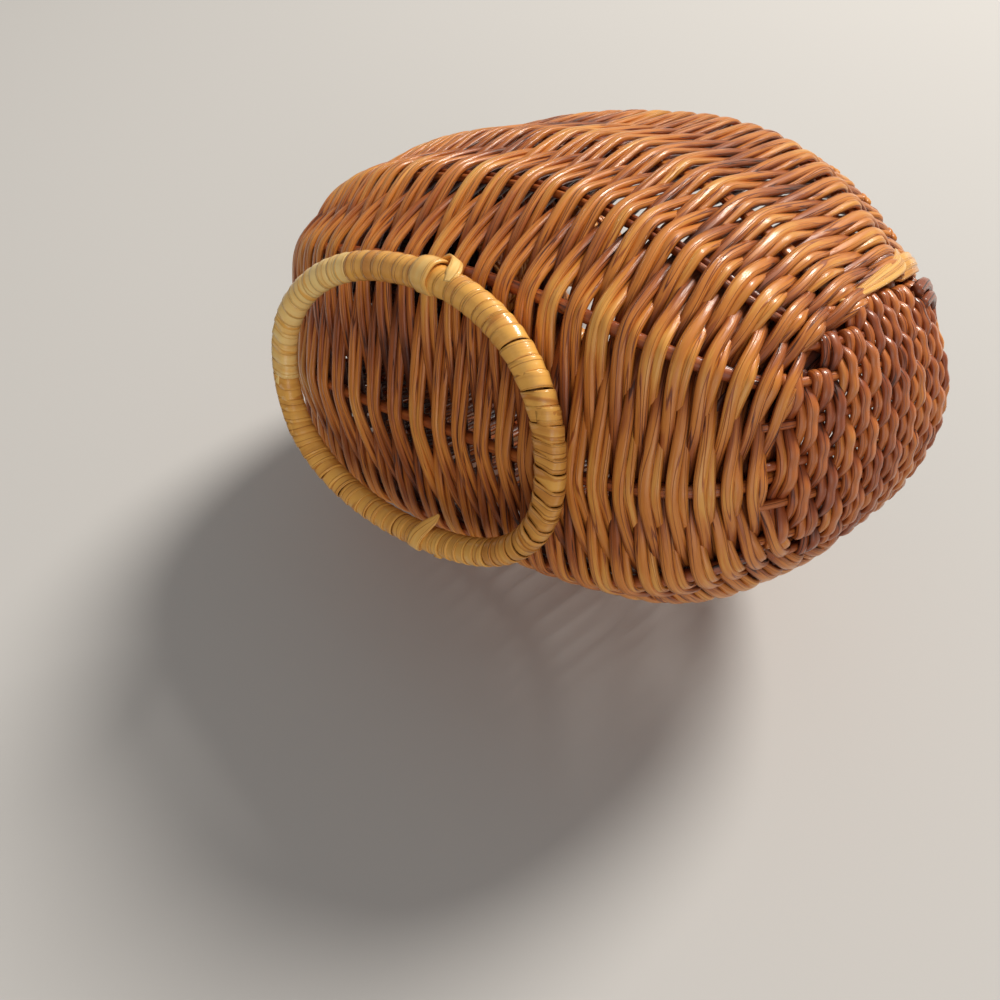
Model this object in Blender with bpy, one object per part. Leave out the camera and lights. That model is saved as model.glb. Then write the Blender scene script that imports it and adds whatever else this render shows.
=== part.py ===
"""Duck-shaped wicker basket: a deep egg of woven rods on lengthwise ribs, open on its back,
with a hollow woven neck, a head and a bill, on an oval foot ring bound with cane.

Metres, +Z up, the bill points to +X. The origin is on the ground, below the middle of the basket's box.
"""

import math

import bmesh
import bpy
from mathutils import Vector

# Body, measured to the middle line of the ribs
BODY_LENGTH = 0.1912
BODY_WIDTH = 0.1096
BELLY_DEPTH = 0.0920
BACK_RISE = 0.0455
BODY_AHEAD = 0.0046
RUMP_FALL = 0.0480
RUMP_UPTURN = 0.0228
BREAST_FALL = 0.0133

# Powers of the body's curves: higher is blunter or boxier
RUMP_BLUNTNESS = 2.4
BREAST_BLUNTNESS = 2.35
BELLY_BOXINESS = 3.28
UPTURN_POWER = 9

# Ribs and woven wall
RIB_DIAMETER = 0.0030
WALL_THICKNESS = 0.0014
SEAT_GAP = 0.0004
JOIN_GAP = 0.0003
KEEL_RIB_SHARE = -0.013
LEFT_RIB_SHARES = (0.265, 0.59, 0.83, 1.07)
RIGHT_RIB_SHARES = (0.335, 0.63, 0.83, 1.07)
RIB_END_SHARE = 0.965
RUMP_JOIN_SHARE = -0.885
BREAST_JOIN_SHARE = 0.87

# Broad rows of the weave, and the pockets where a row goes in behind a rib
ROW_SPACING = 0.0052
POCKET_DEPTH = 0.0030
POCKET_PLACE_SHARES = (0.065, 0.20, 0.50, 0.80, 0.935)
OUT_THEN_IN_SHARES = (0.0, 0.0, 0.5, 1.0, 0.0)

# Opening in the back, by the hoop's distance in plan from the body's ends and sides
HOOP_FROM_RUMP = 0.0074
HOOP_FROM_BREAST = 0.0358
HOOP_FROM_SIDE = 0.0073
HOOP_DIAMETER = 0.0034
CUT_OVERRUN = 0.010

# Foot ring: a bent rod bound with flat cane
RING_LENGTH = 0.0904
RING_WIDTH = 0.0656
RING_DIAMETER = 0.0057
RING_SADDLE = 0.0030
RING_SQUARENESS = 2.23
CANE_WIDTH = 0.0026
CANE_THICKNESS = 0.0008
FLAT_DEPTH = 0.0005
BINDING_TURNS = 24
BINDING_BREAK = 0.0070

# Cane straps: two hang the foot ring on the belly, one holds the hoop at the rump
FOOT_TIE_WIDTH = 0.0044
FOOT_TIE_LEG = 0.012
TIE_PLACE_SHARE = 0.54
HOOP_TIE_WIDTH = 0.0050
HOOP_TIE_REACH = 0.0070
HOOP_TIE_SHARES = (0.36, -0.54)
HOOP_TIE_PLACE_SHARE = 0.82

# Neck and head
NECK_BASE_DIAMETER = 0.034
NECK_TOP_DIAMETER = 0.023
NECK_WALL = 0.0030
NECK_BEHIND_BREAST = 0.0190
NECK_LEAN = 0.0085
NECK_ROOT_DROP = 0.0085
HEAD_ABOVE = 0.068
HEAD_LENGTH = 0.046
HEAD_WIDTH = 0.031
HEAD_HEIGHT = 0.034
HEAD_WALL = 0.0030
HEAD_MOUTH_SHARE = 0.40

# Bill and eyes
BILL_LENGTH = 0.022
BILL_WIDTH = 0.018
BILL_ROOT_HEIGHT = 0.0120
BILL_TIP_HEIGHT = 0.0052
BILL_DROP = 0.0035
BILL_ROOT_DEPTH = 0.0120
BILL_ROOT_SHARE = 0.72
BILL_ROUNDING_SHARE = 0.93
EYE_DIAMETER = 0.0048
EYE_FORWARD = 0.0090
EYE_UP = 0.0060

# Fineness of the meshes
SHARP_DEGREES = 40
STATION_COUNT = 24
CLOSEST_SHARE = 0.3
BELLY_STEPS = 4
ANGLE_STEP = 0.27
ROD_BEVEL_STEPS = 2
BINDING_POINTS = 12
RING_POINTS = 48
RING_SAMPLES = 720
HOOP_POINTS = 56
OVAL_SIDES = 64
STRAP_STEPS = 10
NECK_ROWS = 9
NECK_SIDES = 24
HEAD_ROWS = 12
HEAD_SIDES = 24
BILL_ROWS = 9
EYE_ROWS = 8
EYE_SIDES = 12


def clear_scene():
    for old in list(bpy.data.objects):
        bpy.data.objects.remove(old, do_unlink=True)


def material(name, color, roughness):
    """A plain varnished finish."""
    finish = bpy.data.materials.new(name)
    finish.use_nodes = True
    shader = finish.node_tree.nodes["Principled BSDF"]
    shader.inputs["Base Color"].default_value = (*color, 1.0)
    shader.inputs["Roughness"].default_value = roughness
    shader.inputs["Metallic"].default_value = 0.0
    return finish


def add_object(name, shape, finish):
    part = bpy.data.objects.new(name, shape)
    part.data.materials.append(finish)
    bpy.context.collection.objects.link(part)
    return part


def mesh_from(name, points, faces):
    """A closed mesh with its faces turned outwards and round shading."""
    mesh = bpy.data.meshes.new(name)
    mesh.from_pydata(points, [], faces)
    shape = bmesh.new()
    shape.from_mesh(mesh)
    bmesh.ops.recalc_face_normals(shape, faces=shape.faces)
    shape.to_mesh(mesh)
    shape.free()
    mesh.shade_smooth()
    mesh.set_sharp_from_angle(angle=math.radians(SHARP_DEGREES))
    return mesh


def add_ring(points, ring):
    """Appends a ring's points and gives their indices."""
    points += ring
    return list(range(len(points) - len(ring), len(points)))


def bridge(one, other):
    """Faces between two closed rings of points, either of which may be a single point."""
    faces = []
    for k in range(max(len(one), len(other))):
        corners = [one[k % len(one)], one[(k + 1) % len(one)]]
        corners += [other[(k + 1) % len(other)], other[k % len(other)]]
        faces.append(list(dict.fromkeys(corners)))
    return faces


def skin(points, rings):
    """Adds a skin over rings of points and gives its faces and its first and last ring."""
    rows = [add_ring(points, ring) for ring in rings]
    faces = []
    for one, other in zip(rows, rows[1:]):
        faces += bridge(one, other)
    return faces, rows[0], rows[-1]


def solid(name, rings):
    """A closed mesh over rings of points, with flat or pointed ends."""
    points = []
    faces, first, last = skin(points, rings)
    faces += [end for end in (first, last) if len(end) > 1]
    return mesh_from(name, points, faces)


def hollow(name, outer_rings, inner_rings):
    """A closed mesh of a wall between two skins, open at each end that isn't a point."""
    points = []
    outer_faces, *outer_ends = skin(points, outer_rings)
    inner_faces, *inner_ends = skin(points, inner_rings)
    faces = outer_faces + inner_faces
    for outer_end, inner_end in zip(outer_ends, inner_ends):
        if len(outer_end) > 1:
            faces += bridge(outer_end, inner_end)
    return mesh_from(name, points, faces)


def guide(name, rings):
    """A closed cutter that isn't part of the basket."""
    part = bpy.data.objects.new(name, solid(name, rings))
    bpy.context.collection.objects.link(part)
    part.hide_render = True
    part.display_type = "WIRE"
    return part


def cut(part, cutter):
    step = part.modifiers.new("cut by " + cutter.name, "BOOLEAN")
    step.operation = "DIFFERENCE"
    step.solver = "EXACT"
    step.object = cutter


def rod(name, line, diameter, finish, closed):
    """A round rod along a line of points, with filled ends."""
    curve = bpy.data.curves.new(name, "CURVE")
    curve.dimensions = "3D"
    curve.bevel_depth = diameter / 2
    curve.bevel_resolution = ROD_BEVEL_STEPS
    curve.use_fill_caps = True
    spline = curve.splines.new("POLY")
    spline.points.add(len(line) - 1)
    for place, point in zip(line, spline.points):
        point.co = (*place, 1)
    spline.use_cyclic_u = closed
    spline.use_smooth = True
    return add_object(name, curve, finish)


def strap(name, inner_line, aways, side, width, finish):
    """A flat cane strap. Its inner face follows the line, and it is thick towards each away."""
    rings = []
    for place, away in zip(inner_line, aways):
        outer = place + away * CANE_THICKNESS
        half = side * width / 2
        rings.append([place - half, place + half, outer + half, outer - half])
    return add_object(name, solid(name, rings), finish)


def signed_power(value, power):
    return math.copysign(abs(value) ** power, value)


def turned(outward, up, angle):
    """A unit direction at an angle from outward towards up."""
    return outward * math.cos(angle) + up * math.sin(angle)


# The body's surface. Along runs from -1 at the rump to 1 at the breast, and the angle from 0 at the
# keel to half a turn at the back. The lift is the distance outside the middle line of the ribs.


def section_share(along):
    bluntness = RUMP_BLUNTNESS if along < 0 else BREAST_BLUNTNESS
    return math.sqrt(max(0.0, 1 - abs(along) ** bluntness))


def level_change(along):
    """How far the widest level lies above its height at the middle of the body."""
    if along > 0:
        return -BREAST_FALL * along**2
    return RUMP_UPTURN * abs(along) ** UPTURN_POWER - RUMP_FALL * along**2


def body_point(along, angle, lift, level):
    size = section_share(along)
    across, down = math.sin(angle), math.cos(angle)
    reach = BACK_RISE + lift
    if down > 0:
        across = signed_power(across, 2 / BELLY_BOXINESS)
        down = signed_power(down, 2 / BELLY_BOXINESS)
        reach = BELLY_DEPTH + lift
    return Vector(
        (
            BODY_AHEAD + (BODY_LENGTH / 2 + lift) * along,
            (BODY_WIDTH / 2 + lift) * size * across,
            level + level_change(along) - reach * size * down,
        )
    )


def along_at(x, lift):
    return (x - BODY_AHEAD) / (BODY_LENGTH / 2 + lift)


def belly_drop(x, y, lift):
    """How far the belly at this place in plan lies below the widest level amidships."""
    along = along_at(x, lift)
    size = section_share(along)
    share = abs(y) / ((BODY_WIDTH / 2 + lift) * size)
    down = max(0.0, 1 - share**BELLY_BOXINESS) ** (1 / BELLY_BOXINESS)
    return (BELLY_DEPTH + lift) * size * down - level_change(along)


def back_point(x, y, lift, level):
    """The point of the back at this place in plan."""
    along = along_at(x, lift)
    size = section_share(along)
    share = y / ((BODY_WIDTH / 2 + lift) * size)
    up = math.sqrt(max(0.0, 1 - share**2))
    return Vector((x, y, level + level_change(along) + (BACK_RISE + lift) * size * up))


def skin_lifts():
    inner = RIB_DIAMETER / 2 + SEAT_GAP
    return inner, inner + WALL_THICKNESS


# The foot ring's middle line, and the height of the body that rests on it


def ring_point(turn):
    """The ring is a squarish oval in plan. Its sides rise to hug the belly."""
    forward, side = math.cos(turn), math.sin(turn)
    return Vector(
        (
            RING_LENGTH / 2 * signed_power(forward, 2 / RING_SQUARENESS),
            RING_WIDTH / 2 * signed_power(side, 2 / RING_SQUARENESS),
            RING_DIAMETER / 2 - FLAT_DEPTH + RING_SADDLE * side**2,
        )
    )


def ring_frame(turn):
    """The middle, the direction along the ring, the direction out of it in plan, and up."""
    step = math.tau / RING_SAMPLES
    ahead = (ring_point(turn + step) - ring_point(turn - step)).normalized()
    outward = ahead.cross(Vector((0, 0, 1))).normalized()
    return ring_point(turn), ahead, outward, outward.cross(ahead)


def seated_level():
    """The lowest widest level at which the belly clears the foot ring by the seat gap."""
    skin = skin_lifts()[1]
    reach = RING_DIAMETER / 2 + SEAT_GAP
    level = 0.0
    for i in range(RING_POINTS * 3):
        middle, _, outward, up = ring_frame(math.tau * i / (RING_POINTS * 3))
        for k in range(BINDING_POINTS * 2 + 1):
            top = middle + turned(outward, up, math.pi * k / (BINDING_POINTS * 2)) * reach
            level = max(level, top.z + belly_drop(top.x, top.y, skin))
    return level


# Woven wall, ribs and hoop


def rib_angles():
    """Each rib's angle. The maker's hands set them a little unevenly."""
    angles = {"keel_rib": math.pi / 2 * KEEL_RIB_SHARE}
    names = ("lower", "middle", "upper", "shoulder")
    for name, left, right in zip(names, LEFT_RIB_SHARES, RIGHT_RIB_SHARES):
        angles[f"{name}_rib_left"] = math.pi / 2 * left
        angles[f"{name}_rib_right"] = -math.pi / 2 * right
    return angles


def belly_angles(low, high):
    """Angles from one up to the next, evenly spaced across the flat of the belly."""
    low, high = (signed_power(math.sin(angle), 2 / BELLY_BOXINESS) for angle in (low, high))
    places = [low + (high - low) * k / BELLY_STEPS for k in range(BELLY_STEPS)]
    return [math.asin(signed_power(place, BELLY_BOXINESS / 2)) for place in places]


def shell_angles():
    """Angles once round the body. Each rib lies on one of them."""
    keel = rib_angles()["keel_rib"]
    marks = sorted(rib_angles().values())
    angles = []
    for low, high in zip(marks, [*marks[1:], marks[0] + math.tau]):
        if keel in (low, high):
            angles += belly_angles(low, high)
            continue
        count = math.ceil((high - low) / ANGLE_STEP)
        angles += [low + (high - low) * k / count for k in range(count)]
    return angles


def stations(start, end):
    """Places along the body from start to end, closer together towards the body's ends."""
    step = math.pi / STATION_COUNT
    low, high = math.acos(-start) / step, math.acos(-end) / step
    between = [k for k in range(1, STATION_COUNT) if low + CLOSEST_SHARE < k < high - CLOSEST_SHARE]
    return [start, *(-math.cos(step * k) for k in between), end]


def body_rings(places, lift, level):
    rings = []
    for along in places:
        angles = shell_angles() if abs(along) < 1 else [0.0]
        rings.append([body_point(along, angle, lift, level) for angle in angles])
    return rings


def angle_between(low, high, share):
    """The angle at a share of the way between two ribs. By the keel the way is measured across the belly."""
    if rib_angles()["keel_rib"] not in (low, high):
        return low + (high - low) * share
    low, high = (signed_power(math.sin(angle), 2 / BELLY_BOXINESS) for angle in (low, high))
    return math.asin(signed_power(low + (high - low) * share, BELLY_BOXINESS / 2))


def row_ring(row, along, lift, level, sunk):
    """One row once round. Between two ribs it goes from outside the one to inside the other, or back."""
    marks = sorted(rib_angles().values())
    depth = sunk * POCKET_DEPTH * section_share(along)
    ring = []
    for span, (low, high) in enumerate(zip(marks, marks[1:])):
        ways = OUT_THEN_IN_SHARES if (row + span) % 2 else OUT_THEN_IN_SHARES[::-1]
        for place, way in zip(POCKET_PLACE_SHARES, ways):
            ring.append(body_point(along, angle_between(low, high, place), lift - depth * way, level))
    back = marks[0] + math.tau - marks[-1]
    count = math.ceil(back / ANGLE_STEP)
    ring += [body_point(along, marks[-1] + back * k / count, lift, level) for k in range(count + 1)]
    return ring


def row_places(start, end):
    count = math.ceil((end - start) * BODY_LENGTH / 2 / ROW_SPACING)
    return [start + (end - start) * row / count for row in range(count + 1)]


def row_rings(start, end, lift, level):
    """Broad rows from start to end. The first and last are plain, to meet the rump and the breast."""
    places = row_places(start, end)
    last = len(places) - 1
    return [row_ring(row, along, lift, level, 0 < row < last) for row, along in enumerate(places)]


def body_shell(name, start, end, level, finish, rowed):
    """One length of the woven wall, open wherever the body goes on."""
    skins = []
    for lift in reversed(skin_lifts()):
        if rowed:
            skins.append(row_rings(start, end, lift, level))
        else:
            skins.append(body_rings(stations(start, end), lift, level))
    return add_object(name, hollow(name, *skins), finish)


def grown_body(level):
    """The whole body grown by the joint gap, to cut what stands on its skin."""
    lift = skin_lifts()[1] + JOIN_GAP
    places = row_places(RUMP_JOIN_SHARE, BREAST_JOIN_SHARE)
    places += [place for place in stations(-1, 1) if not places[0] <= place <= places[-1]]
    rings = []
    for along in sorted(places):
        tip = [body_point(along, 0, lift, level)]
        rings.append(row_ring(0, along, lift, level, False) if abs(along) < 1 else tip)
    return guide("grown_body", rings)


def opening_place(turn, wider):
    """A point in plan of the opening's oval, whose line is the hoop's middle line."""
    half_length = (BODY_LENGTH - HOOP_FROM_RUMP - HOOP_FROM_BREAST) / 2
    middle = BODY_AHEAD + (HOOP_FROM_RUMP - HOOP_FROM_BREAST) / 2
    half_width = BODY_WIDTH / 2 - HOOP_FROM_SIDE
    return middle + (half_length + wider) * math.cos(turn), (half_width + wider) * math.sin(turn)


def opening_cutter(level):
    """An oval prism that takes the back out of the woven wall, just clear of the hoop."""
    wider = HOOP_DIAMETER / 2 + JOIN_GAP
    low = level + level_change(along_at(opening_place(math.pi, wider)[0], 0))
    high = level + BACK_RISE + CUT_OVERRUN
    turns = [math.tau * k / OVAL_SIDES for k in range(OVAL_SIDES)]
    rings = [[Vector((*opening_place(turn, wider), height)) for turn in turns] for height in (low, high)]
    return guide("opening_cutter", rings)


def make_woven_wall(level, finish, opening):
    step = JOIN_GAP / (BODY_LENGTH / 2)
    lengths = {
        "woven_rump": (-1, RUMP_JOIN_SHARE - step / 2),
        "woven_body": (RUMP_JOIN_SHARE + step / 2, BREAST_JOIN_SHARE - step / 2),
        "woven_breast": (BREAST_JOIN_SHARE + step / 2, 1),
    }
    for name, (start, end) in lengths.items():
        cut(body_shell(name, start, end, level, finish, name == "woven_body"), opening)


def make_ribs(level, finish):
    places = stations(-RIB_END_SHARE, RIB_END_SHARE)
    for name, angle in rib_angles().items():
        rod(name, [body_point(along, angle, 0, level) for along in places], RIB_DIAMETER, finish, False)


def make_hoop(level, finish):
    turns = [math.tau * k / HOOP_POINTS for k in range(HOOP_POINTS)]
    line = [back_point(*opening_place(turn, 0), 0, level) for turn in turns]
    rod("rim_hoop", line, HOOP_DIAMETER, finish, True)


def back_frame(turn, wider, lift, level):
    """A point beside the hoop, the way along the back to the opening, along the hoop, and out."""
    here = back_point(*opening_place(turn, wider), lift, level)
    inner = back_point(*opening_place(turn, wider - JOIN_GAP), lift, level)
    later = back_point(*opening_place(turn + math.tau / RING_SAMPLES, wider), lift, level)
    inward, ahead = (inner - here).normalized(), (later - here).normalized()
    return here, inward, ahead, ahead.cross(inward).normalized()


def make_hoop_tie(level, finish):
    """A strap that lies on the back beside the rump, and goes over the hoop and under it."""
    turn = math.pi * HOOP_TIE_PLACE_SHARE
    hoop, inward, ahead, out = back_frame(turn, 0, 0, level)
    edge = HOOP_DIAMETER / 2 + JOIN_GAP
    line, aways = [], []
    for k in range(STRAP_STEPS // 2 + 1):
        wider = edge + HOOP_TIE_REACH * (1 - 2 * k / STRAP_STEPS)
        here, _, _, away = back_frame(turn, wider, skin_lifts()[1], level)
        aways.append(away)
        line.append(here + away * JOIN_GAP)
    over_share, under_share = HOOP_TIE_SHARES
    for k in range(STRAP_STEPS + 1):
        angle = math.pi * (over_share + (under_share - over_share) * k / STRAP_STEPS)
        aways.append(turned(inward, out, angle))
        line.append(hoop + aways[-1] * (edge + JOIN_GAP))
    strap("hoop_tie", line, aways, ahead, HOOP_TIE_WIDTH, finish)


# Foot ring, its binding and its straps


def core_radius():
    return RING_DIAMETER / 2 - CANE_THICKNESS - JOIN_GAP


def make_ring_rod(finish):
    line = [ring_point(math.tau * k / RING_POINTS) for k in range(RING_POINTS)]
    rod("foot_ring_rod", line, 2 * core_radius(), finish, True)


def ring_lengths():
    """Lengths along the ring from its front to each of its samples."""
    line = [ring_point(math.tau * k / RING_SAMPLES) for k in range(RING_SAMPLES + 1)]
    lengths = [0.0]
    for one, other in zip(line, line[1:]):
        lengths.append(lengths[-1] + (other - one).length)
    return lengths


def binding_places():
    """Pairs of a turn about the ring and a turn about its rod, from the left tie on and back to it.
    One winding passes under the rod at the ring's front."""
    lengths = ring_lengths()
    whole = lengths[-1]
    wound = whole - BINDING_BREAK
    start = lengths[round(RING_SAMPLES / 2 * TIE_PLACE_SHARE)] + BINDING_BREAK / 2
    steps = BINDING_TURNS * BINDING_POINTS
    places = []
    for k in range(steps + 1):
        place = start + wound * k / steps
        i = next(n for n in range(RING_SAMPLES) if lengths[n + 1] >= place % whole)
        part = (place % whole - lengths[i]) / (lengths[i + 1] - lengths[i])
        about_rod = math.tau * BINDING_TURNS * (place - whole) / wound - math.pi / 2
        places.append((math.tau * (i + part) / RING_SAMPLES, about_rod))
    return places


def make_ring_binding(finish, ground):
    """One unbroken strip of cane wound round the rod, flat where it stands on the ground."""
    low = core_radius() + JOIN_GAP
    rings = []
    for turn, about_rod in binding_places():
        middle, ahead, outward, up = ring_frame(turn)
        away = turned(outward, up, about_rod)
        half = ahead * CANE_WIDTH / 2
        inner, outer = middle + away * low, middle + away * (low + CANE_THICKNESS)
        rings.append([inner - half, inner + half, outer + half, outer - half])
    cut(add_object("foot_ring_binding", solid("foot_ring_binding", rings), finish), ground)
    print(f"Least gap of the cane to itself: {least_gap(rings) * 1000:.2f} mm")


def least_gap(rings):
    """The least distance between the strip's points at least half a winding apart."""
    least = RING_LENGTH
    for i, ring in enumerate(rings):
        for other in rings[i + BINDING_POINTS // 2 :]:
            least = min(least, *((a - b).length for a in ring for b in other))
    return least


def ground_block():
    """A block under the ground."""
    corners = ((-1, -1), (1, -1), (1, 1), (-1, 1))
    rings = []
    for z in (-RING_DIAMETER, 0):
        rings.append([Vector((x * RING_LENGTH, y * RING_WIDTH, z)) for x, y in corners])
    return guide("ground_block", rings)


def make_foot_tie(name, turn, finish, body):
    """A strap under the ring whose two legs go up to the belly."""
    middle, ahead, outward, up = ring_frame(turn)
    low = RING_DIAMETER / 2 + JOIN_GAP
    aways = [turned(outward, up, -math.pi * k / STRAP_STEPS) for k in range(STRAP_STEPS + 1)]
    line = [middle + away * low for away in aways]
    leg = up * FOOT_TIE_LEG
    line = [line[0] + leg, *line, line[-1] + leg]
    aways = [aways[0], *aways, aways[-1]]
    cut(strap(name, line, aways, ahead, FOOT_TIE_WIDTH, finish), body)


# Neck, head, bill and eyes


def neck_root(level):
    end = BODY_AHEAD + BODY_LENGTH / 2
    return Vector((end - NECK_BEHIND_BREAST, 0, level - NECK_ROOT_DROP))


def head_middle(level):
    return neck_root(level) + Vector((NECK_LEAN, 0, NECK_ROOT_DROP + HEAD_ABOVE))


def neck_rings(level, narrower):
    root, top = neck_root(level), head_middle(level)
    rings = []
    for k in range(NECK_ROWS + 1):
        part = k / NECK_ROWS
        eased = part * part * (3 - 2 * part)
        middle = Vector((root.x + (top.x - root.x) * eased, 0, root.z + (top.z - root.z) * part))
        radius = (NECK_BASE_DIAMETER + (NECK_TOP_DIAMETER - NECK_BASE_DIAMETER) * eased) / 2 - narrower
        turns = [math.tau * i / NECK_SIDES for i in range(NECK_SIDES)]
        rings.append([middle + Vector((math.cos(t), math.sin(t), 0)) * radius for t in turns])
    return rings


def make_neck(level, finish, body, head):
    """A hollow neck, cut to the body's skin below and to the head's above."""
    mesh = hollow("woven_neck", neck_rings(level, 0), neck_rings(level, NECK_WALL))
    neck = add_object("woven_neck", mesh, finish)
    cut(neck, body)
    cut(neck, head)


def ball_rings(middle, half_sizes, rows, sides, lowest):
    """Level rings of a ball or egg from its top down to the lowest angle."""
    wide, deep, high = half_sizes
    rings = [[middle + Vector((0, 0, high))]]
    for k in range(1, rows + 1):
        angle = lowest * k / rows
        ring = []
        for i in range(sides):
            x, y = math.cos(math.tau * i / sides), math.sin(math.tau * i / sides)
            place = Vector((wide * x * math.sin(angle), deep * y * math.sin(angle), high * math.cos(angle)))
            ring.append(middle + place)
        rings.append(ring)
    return rings


def closed_ball_rings(middle, half_sizes, rows, sides):
    rings = ball_rings(middle, half_sizes, rows - 1, sides, math.pi * (rows - 1) / rows)
    return [*rings, [middle - Vector((0, 0, half_sizes[2]))]]


def head_half_sizes(lift):
    return HEAD_LENGTH / 2 + lift, HEAD_WIDTH / 2 + lift, HEAD_HEIGHT / 2 + lift


def make_head(level, finish):
    """A hollow head with a mouth below it, over the neck."""
    mouth = math.pi - math.asin(HEAD_MOUTH_SHARE)
    skins = []
    for lift in (0, -HEAD_WALL):
        sizes = head_half_sizes(lift)
        skins.append(ball_rings(head_middle(level), sizes, HEAD_ROWS, HEAD_SIDES, mouth))
    add_object("woven_head", hollow("woven_head", *skins), finish)


def grown_head(level):
    """The head grown by the joint gap and closed, to cut what meets its skin."""
    sizes = head_half_sizes(JOIN_GAP)
    return guide("grown_head", closed_ball_rings(head_middle(level), sizes, HEAD_ROWS, HEAD_SIDES))


def make_bill_half(name, up, level, finish, head):
    """One half of the bill: flat where it meets the other half, rounded outside, broad near its tip."""
    middle = head_middle(level)
    start = middle.x + HEAD_LENGTH / 2 - BILL_ROOT_DEPTH
    rings = []
    for k in range(BILL_ROWS + 1):
        part = math.sin(math.pi / 2 * BILL_ROUNDING_SHARE * k / BILL_ROWS)
        tip = math.sqrt(1 - part**6)
        half_width = BILL_WIDTH / 2 * (BILL_ROOT_SHARE + (1 - BILL_ROOT_SHARE) * part) * tip
        height = (BILL_ROOT_HEIGHT + (BILL_TIP_HEIGHT - BILL_ROOT_HEIGHT) * part) / 2 * math.sqrt(tip)
        split = middle.z - BILL_DROP * (1 + part) / 2 + up * JOIN_GAP / 2
        x = start + (BILL_LENGTH + BILL_ROOT_DEPTH) * part / math.sin(math.pi / 2 * BILL_ROUNDING_SHARE)
        angles = [math.pi * i / BILL_ROWS for i in range(BILL_ROWS + 1)]
        ring = [Vector((x, half_width * math.cos(a), split + up * height * math.sin(a))) for a in angles]
        rings.append(ring)
    cut(add_object(name, solid(name, rings), finish), head)


def make_eye(name, side, level, finish, head):
    """A bead seated on the side of the head."""
    forward, up = EYE_FORWARD / (HEAD_LENGTH / 2), EYE_UP / (HEAD_HEIGHT / 2)
    out = HEAD_WIDTH / 2 * math.sqrt(1 - forward**2 - up**2)
    middle = head_middle(level) + Vector((EYE_FORWARD, side * out, EYE_UP))
    rings = closed_ball_rings(middle, [EYE_DIAMETER / 2] * 3, EYE_ROWS, EYE_SIDES)
    cut(add_object(name, solid(name, rings), finish), head)


def stand_over_origin(level):
    """Moves everything along X so that the origin lies below the middle of the basket's box."""
    rump_end = body_point(-1, 0.0, skin_lifts()[1], level).x
    bill_tip = head_middle(level).x + HEAD_LENGTH / 2 + BILL_LENGTH
    for part in bpy.data.objects:
        part.location.x = -(rump_end + bill_tip) / 2


def main():
    clear_scene()
    reed = material("reed", (0.42, 0.16, 0.05), 0.35)
    rib_reed = material("rib_reed", (0.30, 0.12, 0.045), 0.4)
    cane = material("cane", (0.66, 0.36, 0.10), 0.35)
    bead = material("bead", (0.02, 0.015, 0.012), 0.2)
    level = seated_level()
    print(f"Widest level of the body: {level * 1000:.1f} mm above the ground")
    body, head = grown_body(level), grown_head(level)
    make_woven_wall(level, reed, opening_cutter(level))
    make_ribs(level, rib_reed)
    make_hoop(level, rib_reed)
    make_hoop_tie(level, cane)
    make_ring_rod(cane)
    make_ring_binding(cane, ground_block())
    tie_turn = math.pi * TIE_PLACE_SHARE
    make_foot_tie("foot_tie_left", tie_turn, cane, body)
    make_foot_tie("foot_tie_right", -tie_turn, cane, body)
    make_neck(level, reed, body, head)
    make_head(level, reed)
    make_bill_half("bill_upper", 1, level, cane, head)
    make_bill_half("bill_lower", -1, level, cane, head)
    make_eye("eye_left", 1, level, bead, head)
    make_eye("eye_right", -1, level, bead, head)
    stand_over_origin(level)


main()
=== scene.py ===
import math
import random

import bpy
import numpy as np
from mathutils import Matrix, Vector


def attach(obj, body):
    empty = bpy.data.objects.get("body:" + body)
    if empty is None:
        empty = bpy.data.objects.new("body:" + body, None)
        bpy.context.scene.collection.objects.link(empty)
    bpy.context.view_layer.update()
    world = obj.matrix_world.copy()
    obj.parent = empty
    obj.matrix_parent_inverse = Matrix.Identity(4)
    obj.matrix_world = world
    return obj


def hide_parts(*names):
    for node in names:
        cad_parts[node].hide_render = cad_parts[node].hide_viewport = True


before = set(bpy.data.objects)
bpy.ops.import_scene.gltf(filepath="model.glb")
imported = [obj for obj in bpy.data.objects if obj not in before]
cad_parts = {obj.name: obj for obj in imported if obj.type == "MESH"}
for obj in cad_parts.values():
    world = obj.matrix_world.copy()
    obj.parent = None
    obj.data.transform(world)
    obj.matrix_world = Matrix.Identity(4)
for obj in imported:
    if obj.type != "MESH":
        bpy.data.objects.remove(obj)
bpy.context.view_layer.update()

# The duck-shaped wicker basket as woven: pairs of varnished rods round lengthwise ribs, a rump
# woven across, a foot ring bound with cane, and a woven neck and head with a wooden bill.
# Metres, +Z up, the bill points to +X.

hand = random.Random(11)

# The body's surface, measured to the middle line of the ribs
BODY_MIDDLE = -0.0156
HALF_LENGTH = 0.0956
HALF_WIDTH = 0.0548
BELLY = 0.0920
BACK = 0.0455
LEVEL = 0.1035
RUMP_FALL = 0.0480
RUMP_UPTURN = 0.0228
BREAST_FALL = 0.0133
RUMP_BLUNTNESS = 2.4
BREAST_BLUNTNESS = 2.35
BELLY_BOXINESS = 3.28
UPTURN_POWER = 9
SAG_SHARE = 0.045
SAG_START, SAG_LENGTH = 0.25, 0.72
SAG_TOP_ANGLE, SAG_REACH = 0.25, 2.0

# Ribs, by their angle from the keel, and the hoop round the opening
KEEL_ANGLE = -0.0204
LEFT_RIB_ANGLES = (0.4163, 0.9268, 1.3038, 1.6808)
RIGHT_RIB_ANGLES = (0.5262, 0.9896, 1.3038, 1.6808)
DECK_RIB_ANGLE = 2.25
HOOP_MIDDLE = -0.0298
HOOP_HALF_LENGTH = 0.0740
HOOP_HALF_WIDTH = 0.0475
RIB_RADIUS = 0.0015
HOOP_RADIUS = 0.0017
RUMP_END = -0.885
OPENING_END = 0.615
BREAST_TIP = 0.9989
BREAST_START = 0.87

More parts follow.
